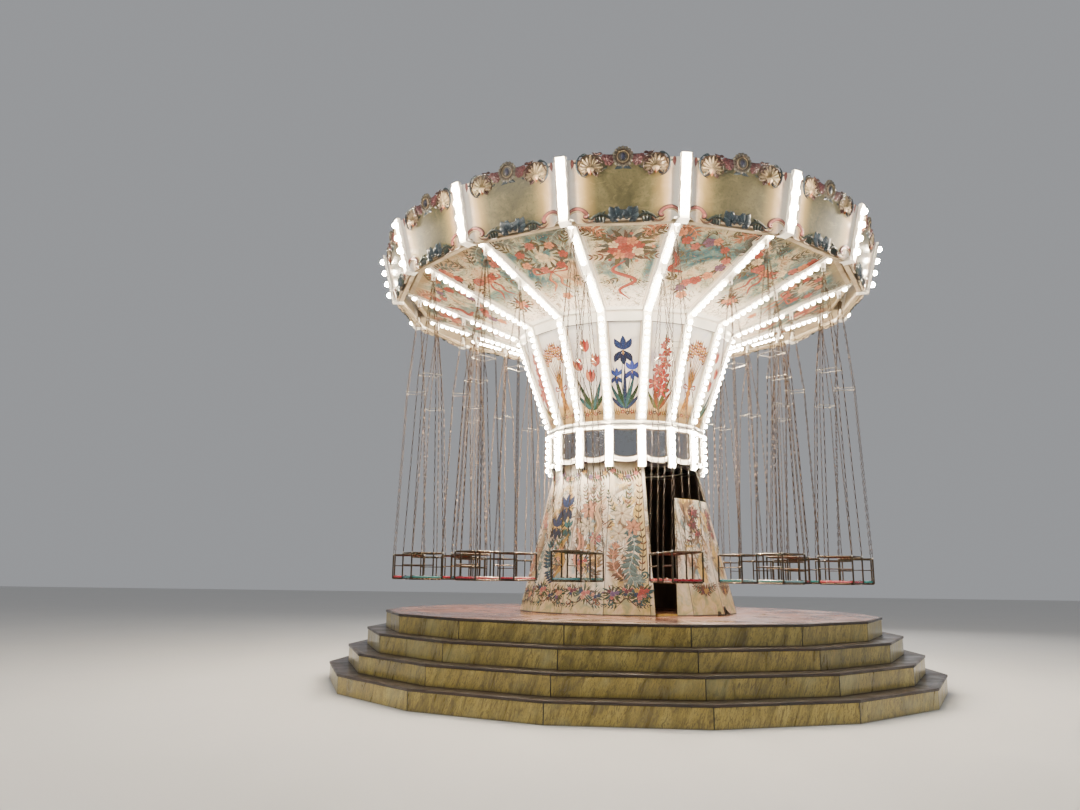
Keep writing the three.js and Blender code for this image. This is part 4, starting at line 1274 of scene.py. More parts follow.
def crest_flowers():
    """Roses and leaves between the medallion and a shell."""
    return [
        leaf((0.004, 0.566), -0.30, 0.098, 0.046, SLATE, -0.3, 0.014, 6),
        leaf((0.0, 0.566), -1.0, 0.050, 0.026, shade(SLATE, 1.3), 0.4, 0.012),
        *rose((0.152, 0.628), 0.068, ROSE, 0.024, 0.2),
        *rose((0.206, 0.664), 0.036, shade(ROSE, 1.2), 0.016, 0.9),
        leaf((0.222, 0.700), 0.15, 0.070, 0.034, MAROON, -0.5, 0.014, 5),
        leaf((0.170, 0.560), -0.6, 0.060, 0.028, GREEN, 0.5, 0.012),
        leaf((0.215, 0.600), 0.55, 0.150, 0.046, MAROON, -0.5, 0.016, 7),
        leaf((0.225, 0.625), 1.05, 0.085, 0.036, shade(MAROON, 1.3), -0.7, 0.016, 6),
        leaf((0.230, 0.600), -0.2, 0.100, 0.030, MAROON, 0.7, 0.014, 6),
    ]


def shell():
    """Fan of twelve ridges with a rim, two curls and leaves round its knob."""
    u, v = 0.354, 0.545
    pieces, rim = [], []
    for j in range(12):
        a = math.radians(-38 + 236 * j / 11)
        reach = (0.146, 0.136)[j % 2] - 0.016 * abs(j - 5.5) / 5.5
        ridge = shade(CREAM, 0.72 if j % 2 == 0 else 0.55)
        pieces.append(leaf((u, v), a, reach, 0.038, ridge, 0.0, 0.018, 6, 1.9))
        rim.append(point_at((u, v), a, reach + 0.004))
    return pieces + [
        ribbon(curve(rim, 4), 0.013, BROWN, 0.012),
        leaf((0.262, 0.686), 0.25, 0.085, 0.036, MAROON, 0.4, 0.014, 5),
        leaf((0.395, 0.700), -0.15, 0.090, 0.034, SLATE, -0.5, 0.014, 5),
        ribbon(curve(spiral((u - 0.062, v - 0.052), 0.040, 0.012, 1.6, -0.9, 8), 2), 0.014, MAROON, 0.016),
        ribbon(curve(spiral((u + 0.066, v - 0.052), 0.040, 0.012, 1.5, 0.9, 8), 2), 0.014, SLATE, 0.016),
        button((u, v - 0.020), (0.050, 0.036), CREAM, 0.022, 14),
        leaf((u, v - 0.004), -math.pi / 2, 0.075, 0.042, ORANGE, 0, 0.028, 5),
        leaf((u - 0.02, v - 0.03), -2.5, 0.085, 0.034, MAROON, 0.5, 0.018, 5),
        leaf((u + 0.02, v - 0.03), -0.65, 0.085, 0.034, MAROON, -0.5, 0.018, 5),
    ]


def scrolls():
    """Outer edge of the crest, and the scroll, curl and stem along the foot of a board."""
    edge = curve([(0.470, 0.688), (0.506, 0.620), (0.500, 0.530), (0.458, 0.470), (0.400, 0.444)], 6)
    pieces = [
        ribbon(edge, (0.026, 0.006), SLATE, 0.014),
        leaf((0.502, 0.600), 0.4, 0.050, 0.024, SLATE, -0.9, 0.010, 4),
        leaf((0.560, 0.650), -1.75, 0.110, 0.046, SCROLL, 0.5, 0.010, 6),
        leaf((0.570, 0.640), -2.1, 0.060, 0.022, shade(ORANGE, 0.6), 0.5, 0.012, 5),
    ]
    for widths, colour, lift, back, *points in (
        ((0.050, 0.014, 0.35), SCROLL, 0.018, ROSE_DARK,
         (0.606, 0.028), (0.590, 0.072), (0.540, 0.104), (0.480, 0.104), (0.425, 0.078), (0.396, 0.046),
         (0.396, 0.020), (0.418, 0.010), (0.432, 0.026), (0.422, 0.040)),
        ((0.020, 0.005), CREAM, 0.012, None,
         (0.596, 0.020), (0.570, 0.060), (0.520, 0.080), (0.470, 0.074), (0.436, 0.050)),
        ((0.026, 0.007), KHAKI, 0.014, None,
         (0.456, -0.004), (0.410, -0.036), (0.352, -0.036), (0.318, -0.006), (0.330, 0.014), (0.348, 0.004)),
        ((0.036, 0.012, 0.5), GREEN, 0.016, None,
         (0.392, 0.004), (0.352, -0.006), (0.305, 0.026), (0.245, 0.040), (0.190, 0.026), (0.150, -0.010)),
    ):
        pieces.append(ribbon(curve(points, 5), widths, colour, lift, back))
    return pieces


def hem_leaves():
    """Leaves along the foot of a board, small ones and a dark tuft in the middle."""
    pieces = []
    for place, rise, heading, reach in (
        (0.340, 0.002, -2.2, 0.058), (0.300, 0.020, -2.0, 0.075), (0.262, 0.026, -1.9, 0.082),
        (0.222, 0.020, -1.8, 0.078), (0.290, 0.034, 2.4, 0.060), (0.238, 0.044, 2.3, 0.055),
    ):
        green = shade(GREEN, 1.4 if heading > 0 else 1.0)
        pieces.append(leaf((place, rise), heading, reach, reach * 0.5, green, 0.5, 0.014, 5))
    for heading, reach, wide, tone in (
        (-0.35, 0.082, 0.070, 1.0), (0.30, 0.108, 0.084, 1.4), (0.90, 0.148, 0.092, 1.0),
        (UP, 0.126, 0.088, 1.5), (2.20, 0.118, 0.084, 1.1), (2.85, 0.068, 0.066, 1.4),
        (-1.2, 0.050, 0.060, 1.0),
    ):
        lift = 0.020 if tone > 1.3 else 0.018
        pieces.append(leaf((0.072, 0.000), heading, reach, wide, shade(SLATE, tone), 0.25, lift, 7, 1.25))
    return pieces + [leaf((0.060, 0.078), 1.1, 0.060, 0.034, shade(SLATE, 1.5), -0.6, 0.014, 5)]


carved = Mesh()
crown_panel = upright_panel(CROWN["bottom"], CROWN["foot"], CROWN_SLOPE)
crown_centre = medallion()
crown_sides = crest_flowers() + shell() + scrolls() + hem_leaves()
for k in range(SECTORS):
    stamp(carved, crown_panel, k, crown_centre)
    stamp(carved, crown_panel, k, crown_sides, mirror=True)
put("crown_carving", carved.mesh("crown_carving", 60), [CARVED], "rotor")


# Painted sprays

rng = np.random.default_rng(16)
INK = (0.030, 0.013, 0.006)
PINK, CORAL, OCHRE = (0.44, 0.12, 0.10), (0.34, 0.042, 0.03), (0.46, 0.25, 0.04)
INDIGO, TEAL_GREEN, MOSS = (0.009, 0.024, 0.075), (0.02, 0.085, 0.09), (0.070, 0.085, 0.018)
PEACH, LILAC, RUST = (0.60, 0.26, 0.14), (0.14, 0.07, 0.17), (0.17, 0.048, 0.015)
IVORY, FOREST, UMBER = (0.74, 0.60, 0.40), (0.016, 0.045, 0.016), (0.060, 0.026, 0.011)
PEWTER, MIST, WINE = (0.035, 0.080, 0.085), (0.22, 0.30, 0.27), (0.12, 0.018, 0.03)


def heading_of(start, end):
    """Direction from one point to another."""
    return math.atan2(end[1] - start[1], end[0] - start[0])


def small_leaf(start, heading, length, width, colour, bend=0.0):
    """Low painted leaf of few faces."""
    return leaf(start, heading, length, width, colour, bend, 0.0014, 4)


def small_rose(centre, radius, colour, turn, lift=0.0024):
    """Two rings of painted petals."""
    sides = 6 if radius > 0.045 else 5
    pieces = []
    for count, place, size, height, tone in ((5, 0.58, 0.46, 0.6, 1.15), (3, 0.26, 0.38, 0.95, 0.9)):
        for a in cycle(count, turn):
            petal = (radius * size * 0.8, radius * size)
            middle = point_at(centre, a, radius * place)
            pieces.append(button(middle, petal, shade(colour, tone), lift * height, sides, 0.55, a, 1.25))
    return pieces


def sprig(start, heading, length, colours, size, pairs, bend, thick=0.006):
    """Curved stem with paired leaves that shrink towards its tip."""
    line, here = [np.array(start, float)], heading
    steps = 2 * pairs + 1
    for i in range(steps):
        here = heading + bend * (i / steps) ** 1.5
        line.append(line[-1] + length / steps * np.array([math.cos(here), math.sin(here)]))
    pieces = [ribbon(line, (thick, thick * 0.4, 0.1), colours[0], 0.0012)]
    for i in range(pairs):
        spot = line[2 * i + 2]
        own = heading_of(line[2 * i + 1], line[min(2 * i + 3, steps)])
        reach = size * (1.1 - 0.5 * (i + 1) / pairs) * rng.uniform(0.85, 1.15)
        for side in (-1, 1):
            colour = colours[1 + (i + side) % (len(colours) - 1)]
            pieces.append(small_leaf(spot, own + side * 0.8, reach, reach * 0.42, colour, -side * 0.5))
    pieces.append(small_leaf(line[-1], here, size * 0.7, size * 0.3, colours[-1]))
    return pieces


def sprigs(*rows):
    """Sprigs in mirrored pairs: place, heading, its turn to the side, and what else a sprig takes."""
    pieces = []
    for side in (-1, 1):
        for u, v, heading, turn, length, colours, size, pairs, bend, thick in rows:
            pieces += sprig(
                (side * u, v), heading + side * turn, length, colours, size, pairs, side * bend, thick
            )
    return pieces


def plume(points, width, colour, tip, lobes):
    """Long curling leaf along a line of points, with overlapping lobes on both sides of a pale midrib."""
    line = curve(points, 6)
    pieces = []
    for i in range(lobes):
        share = i / lobes
        spot = int(share * (len(line) - 2))
        heading = heading_of(line[spot], line[spot + 1])
        reach = width * (0.62 + 1.3 * share - 1.6 * share ** 2)
        tone = tuple(np.asarray(colour) * (1 - share) + np.asarray(tip) * share)
        for side in (-1, 1):
            pieces.append(leaf(
                line[spot], heading + side * (1.05 - 0.5 * share), reach * 1.15, reach * 0.56,
                shade(tone, 0.82 if i % 2 else 1.18), side * 0.55, 0.0016 + 0.0002 * (i % 2), 5, 0.7,
            ))
    pieces.append(ribbon(line, (width * 0.13, width * 0.03, 0.2), shade(tip, 1.3), 0.0024))
    return pieces


def big_bloom(centre, radius, colour, heart, turn):
    """Large open flower of broad petals in two rings, with a small dark heart."""
    pieces = []
    for count, reach, wide, tone, bend in ((7, 1.0, 0.62, 1.0, 0.25), (6, 0.66, 0.44, 0.85, -0.3)):
        for j in range(count):
            a = turn + 2 * math.pi * (j + 0.5 * (count % 2)) / count
            own = reach * rng.uniform(0.88, 1.08)
            petal = shade(colour, tone)
            pieces.append(leaf(centre, a, radius * own, radius * wide, petal, bend, 0.0024, 6, 1.5))
    for a in cycle(6, turn):
        pieces.append(button(point_at(centre, a, radius * 0.13), radius * 0.055, heart, 0.0036, 5))
    pieces.append(button(centre, radius * 0.09, shade(heart, 0.6), 0.0040, 6))
    return pieces


def strokes(centre, wide, tall, count, size, colours):
    """Loose brush strokes, scattered over an oval."""
    pieces = []
    for j in range(count):
        a, far = rng.uniform(0, 2 * math.pi), math.sqrt(rng.uniform(0.05, 1))
        spot = (centre[0] + wide * far * math.cos(a), centre[1] + tall * far * math.sin(a))
        heading, reach = a + rng.uniform(-0.9, 0.9), size * rng.uniform(0.6, 1.3)
        colour, bend = colours[j % len(colours)], rng.uniform(-1.3, 1.3)
        pieces.append(leaf(spot, heading, reach, reach * 0.24, colour, bend, 0.0011, 4))
    return pieces


def drape(points, wide, colour, folds=3):
    """Painted cloth in a few folds that run side by side."""
    line = curve(points, 6)
    along = np.gradient(line, axis=0)
    normal = np.column_stack([-along[:, 1], along[:, 0]]) / np.linalg.norm(along, axis=1, keepdims=True)
    swell = taper(len(line), 1.0, 0.35, 0.5)
    pieces = []
    for j in range(folds):
        offset = (j - (folds - 1) / 2) * wide / folds
        path = line + normal * (offset * swell)[:, None]
        tone = shade(colour, (1.15, 0.7, 0.95)[j % 3])
        pieces.append(ribbon(path, swell * wide / folds * 1.3, tone, 0.002))
    return pieces


def bouquet(centre, radius, blooms, greens, count, squash=0.75):
    """Bunch of small roses on two rings of leaves, with buds round it."""
    pieces = []
    for ring, reach, many in ((1.0, 0.95, 13), (0.62, 0.85, 8)):
        for j in range(many):
            a = 2 * math.pi * (j + rng.uniform(-0.25, 0.25)) / many
            foot = point_at(centre, a, radius * 0.45 * ring, squash)
            size = radius * reach * rng.uniform(0.75, 1.1)
            bend = rng.uniform(-0.7, 0.7)
            pieces.append(leaf(foot, a, size, size * 0.40, greens[j % len(greens)], bend, 0.0013, 4))
    for j in range(count):
        a = 2 * math.pi * j / count + 0.3
        spot = point_at(centre, a, radius * 0.56, squash)
        pieces += small_rose(spot, radius * rng.uniform(0.27, 0.37), blooms[j % len(blooms)], a)
    pieces += small_rose(centre, radius * 0.40, blooms[0], 0.5, 0.0032)
    for j in range(5):
        a = 2 * math.pi * (j + rng.uniform(0, 0.6)) / 5
        middle, tip = point_at(centre, a, radius * 0.7, squash), point_at(centre, a, radius * 1.15, squash)
        pieces.append(ribbon([centre, middle, tip], 0.006, greens[0], 0.001))
        pieces.append(button(tip, radius * 0.10, blooms[(j + 1) % len(blooms)], 0.002, 6))
    return pieces


def garland(points, stem, greens, blooms, thick, leaves, count, size):
    """Winding stem with leaves on both sides and roses along it."""
    line = curve(points, 8)
    pieces = [ribbon(line, (thick, thick * 0.35), stem, 0.0014)]
    for n, i in enumerate(np.linspace(1, len(line) - 3, leaves).astype(int)):
        heading = heading_of(line[i - 1], line[i + 1])
        for side in (-1, 1):
            reach = size * rng.uniform(0.9, 1.6)
            lean, wide = side * rng.uniform(0.4, 1.2), rng.uniform(0.34, 0.5)
            colour = greens[(n + side) % len(greens)]
            pieces.append(small_leaf(line[i], heading + lean, reach, reach * wide, colour, -side * 0.5))
    for n, i in enumerate(np.linspace(2, len(line) - 3, count).astype(int)):
        pieces += small_rose(
            line[i], size * rng.uniform(0.75, 1.1), blooms[n % len(blooms)], rng.uniform(0, 6)
        )
    return pieces


def streamer(points, wide, colour, back):
    """Ribbon that tapers, with its own colour on the back."""
    line = curve(points, 7)
    return [ribbon(line, (wide, wide * 0.25, 0.4), colour, 0.0014, back)]


def bow(centre, size, colour, back):
    """Two loops and two tails round a knot."""
    u, v = centre
    pieces = []
    for side in (-1, 1):
        wing = [(u, v), (u + side * size, v + size * 0.55), (u + side * size * 1.15, v), (u, v)]
        tail = [(u, v), (u + side * size * 0.4, v - size * 0.7), (u + side * size * 0.25, v - size * 1.3)]
        tail.append((u + side * size * 0.7, v - size * 2.0))
        pieces += streamer(wing, size * 0.26, colour, back) + streamer(tail, size * 0.26, back, colour)
    pieces.append(button(centre, size * 0.18, colour, 0.003, 8))
    return pieces


def canopy_picture(kind):
    """Flowers for one sheet of the canopy, from the kink at v = 0 to the rail at v = 1.7."""
    greens = [FOREST, MOSS, TEAL_GREEN, UMBER]
    if kind == 0:
        pieces = bouquet((0.02, 1.14), 0.25, [CORAL, PEACH, PINK, IVORY], greens, 8)
        pieces += sprigs(
            (0.14, 1.26, UP, -1.0, 0.36, [UMBER, FOREST, MOSS], 0.12, 6, -0.5, 0.012),
            (0.15, 1.04, UP, -1.8, 0.26, [UMBER, MOSS, RUST], 0.10, 4, 0.4, 0.010),
            (0.03, 0.70, UP, -2.3, 0.22, [UMBER, TEAL_GREEN, MOSS], 0.08, 4, 0.8, 0.006),
        )
        waves = [(0.03, 0.96), (-0.12, 0.80), (0.12, 0.64), (-0.05, 0.48), (0.06, 0.32)]
        pieces += streamer(waves, 0.060, CORAL, PINK)
    elif kind == 1:
        swag = [(-0.46, 1.46), (-0.32, 1.18), (0.0, 1.02), (0.32, 1.18), (0.46, 1.46)]
        pieces = garland(swag, UMBER, greens, [PINK, PEACH, CORAL, IVORY], 0.024, 18, 11, 0.082)
        pieces += bow((0.0, 1.00), 0.17, PINK, CORAL)
        pieces += bouquet((0.0, 0.50), 0.13, [PEACH, CORAL, IVORY], greens, 5)
        pieces += sprigs(
            (0.06, 1.28, UP, -0.7, 0.30, [UMBER, FOREST, TEAL_GREEN], 0.10, 5, 0.8, 0.010),
            (0.22, 1.00, -UP, 0.3, 0.30, [UMBER, RUST, MOSS], 0.085, 5, 0.6, 0.006),
        )
    elif kind == 2:
        vine = [
            (-0.46, 1.44), (-0.20, 1.20), (0.04, 1.30), (0.26, 1.04),
            (0.14, 0.76), (-0.06, 0.60), (0.04, 0.38),
        ]
        pieces = garland(vine, RUST, greens, [PEACH, CORAL, PINK, LILAC], 0.024, 22, 13, 0.076)
        for u, v, heading in (
            (0.12, 1.38, 0.6), (0.34, 1.00, -0.2), (-0.20, 1.10, 3.6), (-0.12, 0.66, 2.7),
        ):
            pieces += sprig((u, v), heading, 0.26, [UMBER, FOREST, MOSS], 0.10, 5, 0.6, 0.010)
        pieces += drape([(0.46, 1.52), (0.36, 1.36), (0.44, 1.24), (0.28, 1.20)], 0.08, TEAL_GREEN, 2)
        pieces += drape([(-0.42, 1.14), (-0.26, 0.94), (-0.30, 0.82), (-0.14, 0.80)], 0.07, CORAL, 2)
    else:
        pieces = []
        for j, a in enumerate(cycle(14)):
            spot = point_at((0.0, 1.12), a, 0.25, 0.80)
            for turn in (1.1, 1.9, 2.7):
                green = greens[(j + int(turn * 2)) % 4]
                pieces.append(small_leaf(spot, a + turn, 0.13, 0.055, green, 0.5))
            if j % 2 == 0:
                pieces += small_rose(spot, 0.066, (CORAL, PEACH, PINK)[j // 2 % 3], a)
        pieces += bow((0.0, 0.88), 0.16, CORAL, PEACH)
        pieces += sprigs(
            (0.30, 1.24, UP, -0.5, 0.28, [UMBER, FOREST, MOSS], 0.11, 5, -0.4, 0.010),
            (0.20, 0.82, -UP, 0.4, 0.30, [UMBER, TEAL_GREEN, MOSS], 0.085, 5, 0.5, 0.006),
        )
        pieces += small_rose((0.0, 1.12), 0.09, IVORY, 0.2)
        pieces += small_rose((0.0, 0.46), 0.07, PEACH, 0.8)
    for side in (-1, 1):
        corner_leaf = [(side * 0.46, 1.44), (side * 0.35, 1.46), (side * 0.24, 1.38), (side * 0.26, 1.31)]
        pieces += plume(corner_leaf, 0.10, (RUST, PEWTER)[kind % 2], (PEACH, MIST)[kind % 2], 8)
    pieces += strokes((0.0, 1.16), 0.40, 0.26, 34, 0.085, [UMBER, MOSS, RUST, FOREST, UMBER, TEAL_GREEN])
    pieces += strokes((0.0, 0.62), 0.20, 0.30, 14, 0.065, [UMBER, RUST, MOSS, PINK])
    grow, about, haze = 1.13, 1.14, np.array((0.16, 0.085, 0.045))
    shift = (0, about * (1 - grow), 0)
    return [
        (np.asarray(points) * (grow, grow, 1) + shift, faces, 0.58 * np.asarray(tints) + 0.42 * haze)
        for points, faces, tints in pieces
    ]


def iris(centre, size, colour, spot):
    """Three petals that hang, three that stand and a spot."""
    pieces = []
    for heading, bend in ((-2.4, 0.5), (-0.75, -0.5), (-UP, 0.1)):
        pieces.append(leaf(centre, heading, size, size * 0.55, colour, bend, 0.0022, 6, 1.3))
    for heading, bend in ((0.7, 0.6), (2.45, -0.6), (UP, 0.0)):
        pale = shade(colour, 1.9)
        pieces.append(leaf(centre, heading, size * 0.95, size * 0.5, pale, bend, 0.0026, 6, 1.1))
    pieces.append(leaf(centre, -UP, size * 0.45, size * 0.14, spot, 0, 0.0034, 4))
    return pieces


def blades(foot, colours, wide, *fan):
    """Long narrow leaves from one foot, each with its heading and length."""
    return [
        leaf(foot, heading, reach, wide, colours[j % len(colours)], 0.35 * (UP - heading), 0.0014, 7, 0.5)
        for j, (heading, reach) in enumerate(fan)
    ]


def cone_picture(kind):
    """One flowering plant for each panel of the cone, on a strip of ground with grass."""
    pieces, foot = [], (0.0, 0.15)
    if kind == 0:
        fan = ((2.5, 0.34), (2.15, 0.48), (1.88, 0.60), (UP, 0.64), (1.27, 0.56), (1.0, 0.48), (0.68, 0.34))
        pieces += blades(foot, (INDIGO, TEAL_GREEN, FOREST), 0.082, *fan)
        for points in ([(0, 0.2), (-0.04, 0.5), (-0.02, 0.92)], [(0, 0.2), (0.05, 0.44), (0.095, 0.66)]):
            pieces += streamer(points, 0.016, TEAL_GREEN, MOSS)
        pieces += iris((-0.02, 0.92), 0.20, INDIGO, OCHRE)
        pieces += iris((0.095, 0.66), 0.14, (0.03, 0.05, 0.20), OCHRE)
        pieces += iris((-0.105, 0.58), 0.12, (0.02, 0.04, 0.15), OCHRE)
    elif kind == 1:
        stem = curve([(0.01, 0.15), (-0.03, 0.5), (0.02, 0.84), (0.0, 1.14)], 8)
        pieces.append(ribbon(stem, 0.016, MOSS, 0.0012))
        pieces += blades(foot, (MOSS, RUST), 0.078, (2.25, 0.36), (1.85, 0.50), (1.25, 0.52), (0.92, 0.38))
        for j in range(9):
            place = stem[min(len(stem) - 1, 6 + 2 * j)]
            size = 0.124 - 0.0092 * j
            side = -1 if j % 2 else 1
            spot = (place[0] + side * size * 0.42, place[1])
            pieces += blossom(spot, size, (CORAL, PINK)[j % 2], PEACH, 6, 0.0020, j * 0.7)
    elif kind == 2:
        for j in range(9):
            spread = (j - 4) / 4
            top = (0.140 * spread, 0.92 - 0.10 * abs(spread) + 0.03 * (j % 2))
            stalk = [(0.070 * spread, 0.16), (0.014 * spread, 0.46), top]
            pieces += streamer(stalk, 0.030, (OCHRE, RUST)[j % 2], UMBER)
            for i in range(5):
                grain = (top[0] + 0.035 * spread * i / 5, top[1] + 0.19 * i / 5)
                for side in (-1, 1):
                    heading, colour = UP - 0.3 * spread + side * 0.45, (OCHRE, PEACH, RUST)[(i + j) % 3]
                    pieces.append(leaf(grain, heading, 0.074, 0.032, colour, 0, 0.0016, 3))
        pieces += bow((0.0, 0.48), 0.09, CORAL, RUST)
    else:
        fan = ((2.4, 0.36), (2.0, 0.50), (1.12, 0.50), (0.76, 0.36))
        pieces += blades(foot, (TEAL_GREEN, FOREST), 0.096, *fan)
        for u, v, lean in (
            (0.0, 0.92, 0.0), (-0.105, 0.68, 0.25), (0.105, 0.72, -0.25), (0.02, 0.52, -0.1),
        ):
            pieces += streamer([foot, (u * 0.4, v * 0.55), (u, v)], 0.016, MOSS, FOREST)
            for turn, colour in ((-0.42, PINK), (0.42, PEACH), (0.0, CORAL)):
                heading = UP + lean + turn
                pieces.append(leaf((u, v), heading, 0.185, 0.096, colour, -turn * 0.8, 0.0022, 6, 0.8))
    for j in range(13):
        u = 0.145 * (j - 6) / 6
        reach, colour = 0.13 - abs(u) * 0.3, (RUST, MOSS, UMBER)[j % 3]
        pieces.append(leaf((u, 0.08), UP - u * 3, reach, 0.018, colour, u * 3, 0.0012, 4))
    for j in range(4):
        spot = (-0.09 + 0.06 * j, 0.100 + 0.014 * (j % 2))
        pieces += blossom(spot, 0.032, (OCHRE, PINK, INDIGO, CORAL)[(j + kind) % 4], IVORY, 5, 0.0018, j)
    return pieces


def tower_foot(kind, half):
    """Low bank of leaves and flowers, over a winding stem with a few bare twigs."""
    vine = [(-0.92, 0.20), (-0.4, 0.15), (0.0, 0.21), (0.45, 0.13), (0.92, 0.20)]
    vine = curve([(half * u, v) for u, v in vine], 8)
    pieces = [ribbon(vine, (0.018, 0.007, 0.5), UMBER, 0.0012)]
    greens = [FOREST, PEWTER, UMBER, MOSS, (0.05, 0.085, 0.045)]
    blooms = [LILAC, WINE, PINK, INDIGO, PEACH, RUST]
    for j, u in enumerate((-0.66, 0.0, 0.62)):
        spot = (u * half, 0.26 + 0.040 * math.sin(j * 2.1 + kind))
        own = [blooms[(j + kind + i) % 6] for i in range(3)]
        pieces += bouquet(spot, (0.105, 0.082)[(j + kind) % 2], own, greens[j % 2:j % 2 + 4], 3, 0.8)
    pieces += strokes((0.0, 0.26), half * 0.95, 0.085, 26, 0.075, greens)
    for side in (-1, 1):
        start = (side * half * 0.35, 0.16)
        pieces += sprig(start, UP - side * 2.1, 0.18, [UMBER, PEWTER, FOREST], 0.07, 4, side * 0.9)
        curl = curve(spiral((side * half * 0.80, 0.15), 0.042, 0.010, UP, side * 1.1, 9), 2)
        pieces.append(ribbon(curl, (0.018, 0.005, 0.2), (TEAL_GREEN, RUST)[kind % 2], 0.002))
        twig = [(side * half * 0.2, 0.17), (side * half * 0.5, 0.10), (side * half * 0.62, 0.05)]
        pieces.append(ribbon(curve(twig, 5), 0.007, UMBER, 0.0012))
    return pieces


def urn(u, v, size, body, dark):
    """Vase in low relief: foot, bowl, neck and lip, with bands and two handles."""
    profile = [
        (0.20, 0.0), (0.20, 0.06), (0.08, 0.12), (0.07, 0.20), (0.22, 0.32), (0.34, 0.52), (0.36, 0.70),
        (0.30, 0.86), (0.16, 0.96), (0.13, 1.08), (0.24, 1.20), (0.24, 1.25),
    ]
    outline = [(u + wide * size, v + high * size) for wide, high in profile]
    outline += [(u - wide * size, v + high * size) for wide, high in profile[::-1]]
    points, faces = prism(outline, 0.0, 0.0030, 0.0022)
    round_off = np.abs(np.clip((points[:, :1] - u) / (0.36 * size), -1, 1) + 0.25)
    pieces = [(points, faces, np.clip(np.asarray(body) * (1.05 - 0.55 * round_off), 0, 1))]
    for height, half_wide, wide in (
        (0.06, 0.18, 0.035), (0.44, 0.28, 0.03), (0.60, 0.34, 0.03), (1.21, 0.22, 0.04),
    ):
        stripe = [(u + share * half_wide * size, v + height * size) for share in np.linspace(-1, 1, 5)]
        pieces.append(ribbon(stripe, wide * size, dark, 0.0042))
    for j in range(7):
        a = 0.3 * (j - 3)
        foot = (u + math.sin(a) * 0.10 * size, v + 0.22 * size)
        pieces.append(leaf(foot, UP - a * 0.8, 0.20 * size, 0.06 * size, dark, 0, 0.0046, 4))
    pieces.append(button((u, v + 0.52 * size), 0.075 * size, CORAL, 0.0052, 10))
    for side in (-1, 1):
        grip = ((0.33, 0.62), (0.50, 0.74), (0.50, 0.96), (0.32, 1.06), (0.20, 1.0))
        handle = curve([(u + side * wide * size, v + high * size) for wide, high in grip], 5)
        pieces.append(ribbon(handle, (0.06 * size, 0.03 * size), dark, 0.0036))
    return pieces


def tower_head(kind, half, top):
    """Swag of leaves and small flowers under the mirrors."""
    swag = [(-1, 0.02), (-0.5, 0.10), (0, 0.125), (0.5, 0.10), (1, 0.02)]
    line = curve([(half * u, top - v) for u, v in swag], 6)
    pieces = [ribbon(line, 0.026, UMBER, 0.0014)]
    for i in range(0, len(line) - 1, 2):
        for side in (-1, 1):
            colour = (MOSS, FOREST, UMBER, RUST)[(i // 2 + side) % 4]
            pieces.append(small_leaf(line[i], side * 1.3 + 0.25, 0.090, 0.040, colour, side * 0.4))
        if i % 6 == 2:
            pieces += small_rose(line[i], 0.038, (PINK, OCHRE, LILAC)[(i // 6 + kind) % 3], i)
    return pieces


def fan_of_sprigs(at, headings, length, colours):
    """Sprigs from one place that bend back towards the middle."""
    pieces = []
    for heading in headings:
        pieces += sprig(at, heading, length, colours, 0.08, 6, 0.8 * (UP - heading), 0.008)
    return pieces


def big_blooms(heart, *rows):
    """Big blooms with like hearts, each with its place, size and colour."""
    pieces = []
    for u, v, size, colour in rows:
        pieces += big_bloom((u, v), size, colour, heart, u * 20)
    return pieces


